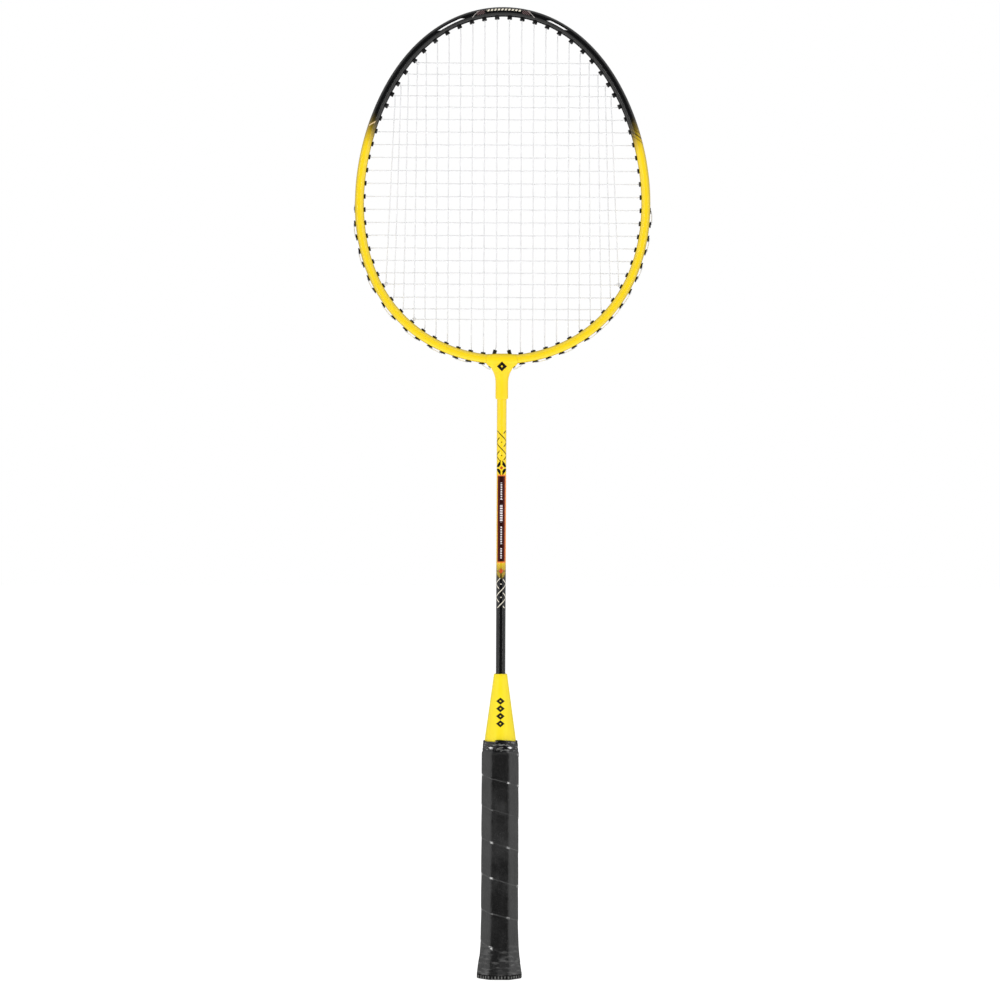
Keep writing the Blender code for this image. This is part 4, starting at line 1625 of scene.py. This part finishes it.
    def build(self, material: bpy.types.Material) -> None:
        """Makes the strings and the knots and dresses them."""
        mains = self.cord("woven_main_string", self.main_route())
        dress(mains, material, Slot.STRING_NYLON, "main_string")
        crosses = self.cord("woven_cross_string", self.cross_route())
        dress(crosses, material, Slot.STRING_NYLON, "cross_string")
        last_main = self.pattern.main_bottoms[self.pattern.mains_per_side]
        ends = (
            (last_main, Side.LEFT),
            (last_main, Side.RIGHT),
            (self.pattern.cross_sides[1], Side.LEFT),
            (self.pattern.cross_sides[self.pattern.crosses], Side.LEFT),
        )
        for number, (index, side) in enumerate(ends, start=1):
            inner, outer = self.pattern.axis(index, side)
            centre = inner - (outer - inner).normalized() * self.knot_lead
            dress(self.knot(f"string_knot_{number}", centre), material, Slot.STRING_NYLON)


@dataclass
class TJoint:
    """The moulded T that clamps the tube's ends and takes the shaft.

    The neck is given by its (height, half width, half depth) in millimetres.
    """

    head: HeadFrame
    pattern: StringPattern
    saddle_reach: float = 11.0 * MM
    saddle_steps: int = 40
    wall_middle: float = 0.95 * MM
    wall_end: float = 0.14 * MM
    fit: float = 0.08 * MM
    channel_steps: int = 60
    fine: float = 0.28 * MM
    softening: float = 0.6
    softening_passes: int = 12
    sides: int = 64
    socket_radius: float = 3.55 * MM
    socket_ends: tuple[float, float] = (395.0 * MM, 414.6 * MM)
    bore_sides: int = 24
    bore_overshoot: float = 3.0 * MM
    neck: tuple[tuple[float, float, float], ...] = (
        (396.2, 4.15, 4.15),
        (396.5, 4.35, 4.35),
        (408.0, 4.35, 4.35),
        (410.5, 4.55, 4.5),
        (413.0, 5.2, 4.8),
        (415.2, 6.1, 5.1),
        (417.6, 8.0, 5.5),
        (419.6, 10.2, 5.7),
        (422.0, 10.4, 5.7),
    )

    def across(self, reach: float, steps: int) -> list[float]:
        """Outline angles spread across the joint."""
        outline = self.head.outline
        end = solve(lambda t: outline.point(t).x - reach, math.radians(120), math.pi)
        return [math.pi + (math.pi - end) * (2 * i / steps - 1) for i in range(steps + 1)]

    def saddle(self) -> bpy.types.Object:
        """The sleeve round the ends of the head tube, thinner towards its own ends."""
        rings = []
        for i, t in enumerate(self.across(self.saddle_reach, self.saddle_steps)):
            middle = 1 - abs(2 * i / self.saddle_steps - 1)
            wall = self.wall_end + (self.wall_middle - self.wall_end) * between(0.0, 0.8, middle)
            rings.append(self.head.ring(t, -self.fit - wall))
        return skin_rings("saddle", rings)

    def neck_solid(self) -> bpy.types.Object:
        """The oval neck that widens from the shaft to the saddle."""
        rings = []
        for z, width, depth in self.neck:
            ring = circle(1.0, z * MM, self.sides)
            rings.append([Vector((p.x * width * MM, p.y * depth * MM, p.z)) for p in ring])
        return skin_rings("neck", rings)

    def soften(self, joint: bpy.types.Object) -> None:
        """Melts the saddle and the neck into one moulding with rounded edges."""
        remesh = joint.modifiers.new("even", "REMESH")
        remesh.mode = "VOXEL"
        remesh.voxel_size = self.fine
        smooth = joint.modifiers.new("fillet", "SMOOTH")
        smooth.factor = self.softening
        smooth.iterations = self.softening_passes
        settle(joint)

    def hollow(self, joint: bpy.types.Object) -> None:
        """Cuts the channel for the tube, the socket for the shaft and the bores for the sleeves."""
        angles = self.across(1.5 * self.saddle_reach, self.channel_steps)
        channel = [self.head.ring(t, -self.fit) for t in angles]
        combine(joint, skin_rings("channel", channel), Cut.TAKE_AWAY)
        socket = [circle(self.socket_radius, z, self.sides) for z in self.socket_ends]
        combine(joint, skin_rings("socket", socket), Cut.TAKE_AWAY)
        for side in Side:
            inner, outer = self.pattern.axis(self.pattern.throat, side)
            beyond = (outer - inner).normalized() * self.bore_overshoot
            bore = sweep([inner - beyond, outer + beyond], self.head.throat_hole_radius, self.bore_sides)
            combine(joint, skin_rings("bore", bore), Cut.TAKE_AWAY)

    def build(self, material: bpy.types.Material) -> None:
        """Makes the joint and dresses it."""
        joint = self.saddle()
        combine(joint, self.neck_solid(), Cut.JOIN)
        self.soften(joint)
        self.hollow(joint)
        joint.name = "t_fitting"
        joint.data.shade_smooth()
        joint.data.set_sharp_from_angle(angle=math.radians(40))
        dress(joint, material, Slot.YELLOW_PLASTIC, "t_joint")


@dataclass
class Shaft:
    """The painted steel tube."""

    radius: float = 3.25 * MM
    wall: float = 0.9 * MM
    bottom: float = 26.0 * MM
    top: float = 414.3 * MM
    bands: int = 40
    sides: int = 64

    def build(self, material: bpy.types.Material) -> None:
        """Makes the tube and dresses it."""
        heights = [self.bottom + (self.top - self.bottom) * i / self.bands for i in range(self.bands + 1)]
        outer = [circle(self.radius, z, self.sides) for z in heights]
        inner = [circle(self.radius - self.wall, z, self.sides) for z in reversed(heights)]
        chart = turned_chart(outer + inner, heights + heights[::-1])
        tube = skin_rings("shaft_tube", outer + inner, True, chart)
        dress(tube, material, Slot.SHAFT_PAINT, "shaft")


@dataclass
class Cone:
    """The moulded cone between the shaft and the handle, from its (height, radius) in millimetres."""

    sides: int = 96
    outside: tuple[tuple[float, float], ...] = (
        (151.4, 9.7),
        (151.6, 9.9),
        (156.2, 9.9),
        (156.9, 10.35),
        (157.1, 10.55),
        (161.6, 10.6),
        (163.0, 10.6),
        (164.2, 10.5),
        (166.5, 10.2),
        (184.0, 7.75),
        (202.0, 5.3),
        (205.0, 4.9),
        (207.0, 4.66),
        (207.5, 4.54),
        (207.8, 4.36),
        (207.9, 4.15),
    )
    inside: tuple[tuple[float, float], ...] = (
        (207.9, 3.75),
        (207.6, 3.6),
        (194.0, 3.7),
        (166.0, 8.2),
        (151.4, 8.3),
    )

    def build(self, material: bpy.types.Material) -> None:
        """Makes the cone and dresses it."""
        profile = self.outside + self.inside
        rings = [circle(radius * MM, height * MM, self.sides) for height, radius in profile]
        cone = skin_rings("cone_shell", rings, True, sharp_degrees=50)
        dress(cone, material, Slot.YELLOW_PLASTIC, "cone")


@dataclass(frozen=True)
class HandleShape:
    """The handle's soft octagon and its flare."""

    depth_ratio: float = 0.93
    bevel_reach: float = 1.044
    corner_turn: float = 0.0708
    edge: float = 48.0
    flare: tuple[tuple[float, float], ...] = (
        (3.0, 30.8),
        (8.0, 29.6),
        (13.5, 27.8),
        (20.5, 26.6),
        (30.0, 25.9),
        (42.0, 25.6),
    )

    def width(self, z: float) -> float:
        """The width across the flats at a height."""
        height = z / MM
        for (z0, w0), (z1, w1) in zip(self.flare, self.flare[1:]):
            if height <= z1:
                share = max((height - z0) / (z1 - z0), 0.0)
                return (w0 + (w1 - w0) * share) * MM
        return self.flare[-1][1] * MM

    def reach(self, angle: float, width: float, edge: float) -> float:
        """How far an octagon with rounded edges reaches from its axis.

        Args:
            angle: The direction, counted from the back over the left side.
            width: The octagon's width across the flats.
            edge: How tight its edges are: more is sharper.

        Returns:
            The distance to its surface.
        """
        total = 0.0
        for k in range(4):
            facing = abs(math.cos(angle - k * math.pi / 4))
            total += (facing / (self.bevel_reach if k % 2 else 1.0)) ** edge
        return width / 2 / total ** (1 / edge)

    def point(self, angle: float, reach: float, z: float) -> Vector:
        """A point of the handle, with the angle counted from the back over the left side."""
        return Vector((-reach * math.sin(angle), reach * math.cos(angle) * self.depth_ratio, z))


@dataclass
class Grip:
    """The strip of padded synthetic leather, wound up the handle in overlapping turns."""

    shape: HandleShape
    bottom: float = 3.0 * MM
    top: float = 156.4 * MM
    thickness: float = 1.5 * MM
    rows: int = 360
    sides: int = 120
    drop: float = 0.2 * MM
    lip: float = 0.24 * MM
    trough: float = 0.14 * MM
    pad: float = 0.06 * MM
    lift: float = 0.04 * MM
    hem: float = 0.35 * MM
    hem_height: float = 0.8 * MM
    softness: float = 0.1 * MM
    crumple: float = 0.5 * MM  # how deep the wrap is crushed where the handle flares
    crumple_fade: tuple[float, float] = (14 * MM, 24 * MM)
    squeeze: float = 0.8 * MM  # how far the tape presses the wrap in
    squeeze_start: float = 3.6 * MM
    squeeze_end: float = 0.6 * MM
    bore_edge: float = 60.0
    bore_steps: tuple[float, ...] = (20.5 * MM, 13.5 * MM, 8.0 * MM)
    # Heights in mm at the left edge of the handle where one turn laps over the turn below it.
    laps: tuple[float, ...] = (-6.0, 27.4, 48.6, 73.3, 97.6, 119.6, 140.6, 162.0, 184.0)

    def turn(self, z: float, angle: float) -> float:
        """How far along the winding a point is, in turns."""
        height = z / MM
        from_left = (angle - math.pi / 2) / (2 * math.pi)
        for number, (low, high) in enumerate(zip(self.laps, self.laps[1:])):
            if height < high:
                return number + (height - low) / (high - low) + from_left
        return len(self.laps) + from_left

    def relief(self, z: float, angle: float) -> float:
        """How far the surface lies inside its envelope: a soft pad that drops at the lap.

        Args:
            z: The height.
            angle: The angle round the handle.

        Returns:
            The distance.
        """
        share = self.turn(z, angle) % 1.0
        slope = self.drop * share**1.4
        lip = self.lip * (1 - between(0.0, 0.028, share))
        trough = self.trough * between(0.93, 1.0, share)
        pad = self.pad * math.sin(math.pi * min(share * 1.15, 1.0))
        return slope + lip + trough - pad + self.lift

    def surface(self, z: float, angle: float) -> Vector:
        """A point of the outside, with the crumples of the flare and the press of the tape.

        Args:
            z: The height.
            angle: The angle round the handle.

        Returns:
            The point.
        """
        flared = 1 - between(*self.crumple_fade, z)
        taped = between(self.top - self.squeeze_start, self.top - self.squeeze_end, z)
        reach = self.shape.reach(angle, self.shape.width(z), self.shape.edge) - self.relief(z, angle)
        reach -= self.hem * (1 - between(self.bottom, self.bottom + self.hem_height, z))
        reach -= self.softness * max(blob(angle, 2.2, z * 160), 0.0)
        reach -= self.crumple * max(blob(angle, 5.0, z * 420 + 9), 0.0) * flared
        return self.shape.point(angle, reach - self.squeeze * taped, z)

    def bore(self, z: float, angle: float) -> Vector:
        """A point of the inside."""
        width = self.shape.width(z) - 2 * self.thickness
        return self.shape.point(angle, self.shape.reach(angle, width, self.bore_edge), z)

    def build(self, material: bpy.types.Material) -> None:
        """Makes the wrap and dresses it."""
        angles = full_turn(self.sides)
        heights = [self.bottom + (self.top - self.bottom) * i / self.rows for i in range(self.rows + 1)]
        rings = [[self.surface(z, angle) for angle in angles] for z in heights]
        for z in (self.top, *self.bore_steps, self.bottom):
            rings.append([self.bore(z, angle) for angle in angles])

        def chart(ring: int, i: int) -> tuple[float, float]:
            """U counts the turns of the winding and V runs once round."""
            return self.turn(rings[ring][0].z, 2 * math.pi * i / self.sides), i / self.sides

        wrap = skin_rings("wound_grip", rings, True, chart, 60)
        dress(wrap, material, Slot.GRIP_FOAM, "grip_wrap")


@dataclass
class Tape:
    """The band of tape that covers the top edge of the grip, wound a little over one turn."""

    shape: HandleShape
    bottom: float = 155.3 * MM
    top: float = 163.4 * MM
    spiral_drop: float = 1.35 * MM
    spiral_turn: float = 0.26
    foot_width: float = 25.2 * MM
    foot_edge: float = 22.0
    top_radius: float = 11.95 * MM
    inner_radius: float = 10.85 * MM
    inner_drop: float = 2.3 * MM
    lap_angle: float = 2.85
    film: float = 0.16 * MM
    crease: float = 0.3 * MM
    valley_height: float = 157.6 * MM
    valley_wander: float = 0.6 * MM
    valley_half: float = 0.7 * MM
    valley_depth: float = 0.3 * MM
    edge_roll: float = 0.14 * MM
    edge_wander: float = 0.25 * MM
    sides: int = 160
    rows: int = 16

    def inset(self, share: float, z: float, angle: float, past_lap: float) -> float:
        """How far a point lies inside the tape's plain form.

        Args:
            share: How far up the tape it is, from 0 to 1.
            z: Its height.
            angle: Its angle round the handle.
            past_lap: How far round it is from the overlap, in turns.

        Returns:
            The distance: the overlap, the creases, the valley and the rolled edges.
        """
        lapped = self.film * (1.2 * past_lap + 0.5)
        crease = self.crease * blob(angle, 3.5, z * 420) * math.sin(math.pi * min(share + 0.1, 1.0))
        middle = self.valley_height + self.valley_wander * blob(angle, 1.5, 3.0)
        valley = self.valley_depth * math.exp(-(((z - middle) / self.valley_half) ** 2))
        rolled = self.edge_roll * (1 - between(0.0, 0.07, share) + between(0.93, 1.0, share))
        return lapped - crease + valley + rolled

    def surface(self, share: float, angle: float) -> Vector:
        """A point of the outside.

        Args:
            share: How far up the tape it is: 0 at the square foot, 1 at the round top edge.
            angle: The angle round the handle.

        Returns:
            The point.
        """
        z = self.bottom + (self.top - self.bottom) * share
        past_lap = ((angle - self.lap_angle) / (2 * math.pi)) % 1.0
        roundness = 0.2 + 0.75 * between(0.1, 0.7, share)
        square = self.shape.reach(angle, self.foot_width, self.foot_edge)
        reach = square + (self.top_radius - square) * roundness - self.inset(share, z, angle, past_lap)
        depth = self.shape.depth_ratio + (1 - self.shape.depth_ratio) * roundness
        drop = self.edge_wander * max(blob(angle, 2.0, 7.0), 0.0)
        drop += self.spiral_drop * between(0.0, self.spiral_turn, past_lap)
        height = z - drop * between(0.45, 1.0, share)
        return Vector((-reach * math.sin(angle), reach * math.cos(angle) * depth, height))

    def build(self, material: bpy.types.Material) -> None:
        """Makes the tape and dresses it."""
        angles = full_turn(self.sides)
        outer = [[self.surface(row / self.rows, angle) for angle in angles] for row in range(self.rows + 1)]
        inner = [circle(self.inner_radius, z, self.sides) for z in (self.top - self.inner_drop, self.bottom)]
        tape = skin_rings("edge_tape", outer + inner, True, sharp_degrees=45)
        dress(tape, material, Slot.BLACK_TAPE, "finishing_tape")


@dataclass
class ButtCap:
    """The moulded cap: a ribbed rim with a spigot into the handle."""

    shape: HandleShape
    width: float = 30.8 * MM
    edge: float = 40.0
    bevel: float = 0.7 * MM
    rim: float = 2.7 * MM
    ribs: int = 44
    per_rib: int = 10
    rib_depth: float = 0.75 * MM
    spigot_radius: float = 6.5 * MM
    spigot_top: float = 18.0 * MM

    def ring(self, z: float, inset: float, ribbing: float) -> Ring:
        """One ring of the rim.

        Args:
            z: The height.
            inset: How far it lies inside the full width.
            ribbing: 1 where the ribs are at their full depth.

        Returns:
            The ring.
        """
        points = []
        for angle in full_turn(self.ribs * self.per_rib):
            groove = between(-0.35, 0.35, math.sin(angle * self.ribs)) * self.rib_depth * ribbing
            reach = self.shape.reach(angle, self.width, self.edge) - inset - groove
            points.append(self.shape.point(angle, reach, z))
        return points

    def round_ring(self, z: float, radius: float) -> Ring:
        """A round ring with as many points as the rim's."""
        return circle(radius, z, self.ribs * self.per_rib)

    def build(self, material: bpy.types.Material) -> None:
        """Makes the cap and dresses it."""
        rings = [
            self.round_ring(0.35 * MM, 7.0 * MM),
            self.round_ring(0.35 * MM, 8.6 * MM),
            self.round_ring(0.0, 8.95 * MM),
            self.ring(0.0, self.bevel + 0.1 * MM, 0.0),
            self.ring(0.12 * MM, 0.4 * MM, 0.2),
            self.ring(0.4 * MM, 0.1 * MM, 0.8),
            self.ring(self.bevel, 0.0, 1.0),
            self.ring(self.rim - 0.55 * MM, 0.0, 1.0),
            self.ring(self.rim - 0.3 * MM, 0.0, 0.4),
            self.ring(self.rim - 0.08 * MM, 0.05 * MM, 0.0),
            self.ring(self.rim, 0.25 * MM, 0.0),
            self.round_ring(self.rim, self.spigot_radius + 0.4 * MM),
            self.round_ring(self.rim + 0.4 * MM, self.spigot_radius),
            self.round_ring(self.spigot_top - 0.6 * MM, self.spigot_radius),
            self.round_ring(self.spigot_top, self.spigot_radius - 0.6 * MM),
        ]
        cap = skin_rings("ribbed_cap", rings, sharp_degrees=35)
        dress(cap, material, Slot.BLACK_PLASTIC, "butt_cap")


# ---------------------------------------------------------------------------------------------
# Studio
# ---------------------------------------------------------------------------------------------


@dataclass
class Studio:
    """White paper, soft light from all round, a dark room in front, and the camera."""

    distance: float = 2.0
    view_height: float = 0.6859
    eye: Vector = field(default_factory=lambda: Vector((-0.92 * MM, 0.0, 327.0 * MM)))
    roll_degrees: float = 0.25
    sensor: float = 36.0
    dark_cone_degrees: float = 46.0
    dark_edge_degrees: float = 12.0
    room_glow: float = 0.66
    dark_glow: float = 0.02

    def camera(self) -> None:
        """A long lens straight in front of the racket, turned very slightly."""
        data = bpy.data.cameras.new("camera")
        data.sensor_width = self.sensor
        data.lens = self.sensor * self.distance / self.view_height
        camera = bpy.data.objects.new("camera", data)
        bpy.context.scene.collection.objects.link(camera)
        upright = Matrix.Rotation(math.pi / 2, 4, "X")
        roll = Matrix.Rotation(math.radians(self.roll_degrees), 4, "Z")
        place = Matrix.Translation(self.eye - Vector((0.0, self.distance, 0.0)))
        camera.matrix_world = place @ upright @ roll
        data.clip_start, data.clip_end = 0.05, 60.0
        bpy.context.scene.camera = camera

    def paper(self) -> None:
        """The floor."""
        mesh = bpy.data.meshes.new("paper")
        bm = bmesh.new()
        bmesh.ops.create_circle(bm, cap_ends=True, segments=96, radius=9.0)
        bm.to_mesh(mesh)
        bm.free()
        floor = bpy.data.objects.new("paper", mesh)
        floor.location.z = -0.2 * MM
        bpy.context.scene.collection.objects.link(floor)
        mesh.materials.append(StudioPaper().material())
        floor.visible_glossy = False

    def surroundings(self) -> None:
        """White all round for the eye, and for the rest a white room that is dark in front and behind."""
        world = bpy.data.worlds.new("studio")
        bpy.context.scene.world = world
        world.use_nodes = True
        nodes = Nodes(world.node_tree)
        background = nodes.tree.nodes["Background"]
        split = nodes.node("SeparateXYZ", {0: nodes.node("TexCoord", {}).outputs["Generated"]})
        wide = math.cos(math.radians(self.dark_cone_degrees + self.dark_edge_degrees))
        narrow = math.cos(math.radians(self.dark_cone_degrees - self.dark_edge_degrees))
        room = nodes.rise(nodes.size(split.outputs[1]), wide, narrow, self.room_glow, self.dark_glow)
        seen = nodes.node("LightPath", {}).outputs["Is Camera Ray"]
        glow = nodes.node("Mix", {0: seen, 2: room, 3: 1.0}, data_type="FLOAT").outputs[0]
        nodes.tree.links.new(glow, background.inputs["Strength"])
        background.inputs["Color"].default_value = (1.0, 1.0, 1.0, 1.0)

    def softbox(
        self, name: str, place: Vector, size: tuple[float, float], power: float, mirrored: bool = False
    ) -> None:
        """A soft light that faces the middle of the racket.

        Args:
            name: The light's name.
            place: Where it stands.
            size: Its width and height.
            power: Its power in watts.
            mirrored: True if glossy surfaces show it.
        """
        data = bpy.data.lights.new(name, "AREA")
        data.shape = "RECTANGLE"
        data.size, data.size_y = size
        data.energy = power
        light = bpy.data.objects.new(name, data)
        light.location = place
        light.rotation_euler = (self.eye - place).to_track_quat("-Z", "Y").to_euler()
        light.visible_glossy = mirrored
        bpy.context.scene.collection.objects.link(light)

    def build(self) -> None:
        """Sets up the whole studio."""
        self.camera()
        self.paper()
        self.surroundings()
        self.softbox("left_softbox", Vector((-1.0, -1.6, 0.9)), (0.8, 1.4), 9.5)
        self.softbox("right_softbox", Vector((1.1, -1.5, 0.7)), (0.8, 1.4), 7.0)
        self.softbox("left_strip", Vector((-1.15, -1.3, 0.45)), (0.07, 1.1), 1.6, True)
        self.softbox("right_strip", Vector((1.15, -1.3, 0.45)), (0.07, 1.1), 1.3, True)
        bpy.context.scene.view_settings.view_transform = "Standard"


def main() -> None:
    """Builds the racket's pieces in order, then the studio."""
    logging.basicConfig(level=logging.INFO, format="%(name)s: %(message)s")
    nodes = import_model()["nodes"]
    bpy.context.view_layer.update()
    outline = HeadOutline()
    section = TubeSection()
    pattern = StringPattern(outline, section)
    head = HeadFrame(outline, section, pattern)
    head.build(HeadLacquer().material())
    nylon = BlackNylon("grommet_nylon").material()
    Grommets(outline, pattern).build(nylon)
    StringBed(outline, pattern).build(StringNylon().material())
    joint_plastic = YellowPlastic(
        "t_plastic", motif_heights=(418.4,), motif_half_height=3.4, motif_half_width=3.5
    )
    TJoint(head, pattern).build(joint_plastic.material())
    Shaft().build(ShaftLacquer().material())
    cone_plastic = YellowPlastic(
        "cone_plastic",
        motif_heights=(174.2, 179.3, 184.4, 189.5),
        motif_half_height=2.45,
        motif_half_width=3.0,
        colour=(0.96, 0.775, 0.014),
        shade=(0.95, 0.72, 0.006),
    )
    Cone().build(cone_plastic.material())
    handle = HandleShape()
    Tape(handle).build(TapeFilm().material())
    Grip(handle).build(GripLeather(handle.corner_turn).material())
    cap = ButtCap(handle)
    cap.build(RibbedPlastic(cap.ribs).material())
    dress_node(nodes["frame_end_plug"], RawAlloy().material())
    dress_node(nodes["handle_core"], CoreWood().material())
    Studio().build()


if __name__ == "__main__":
    main()
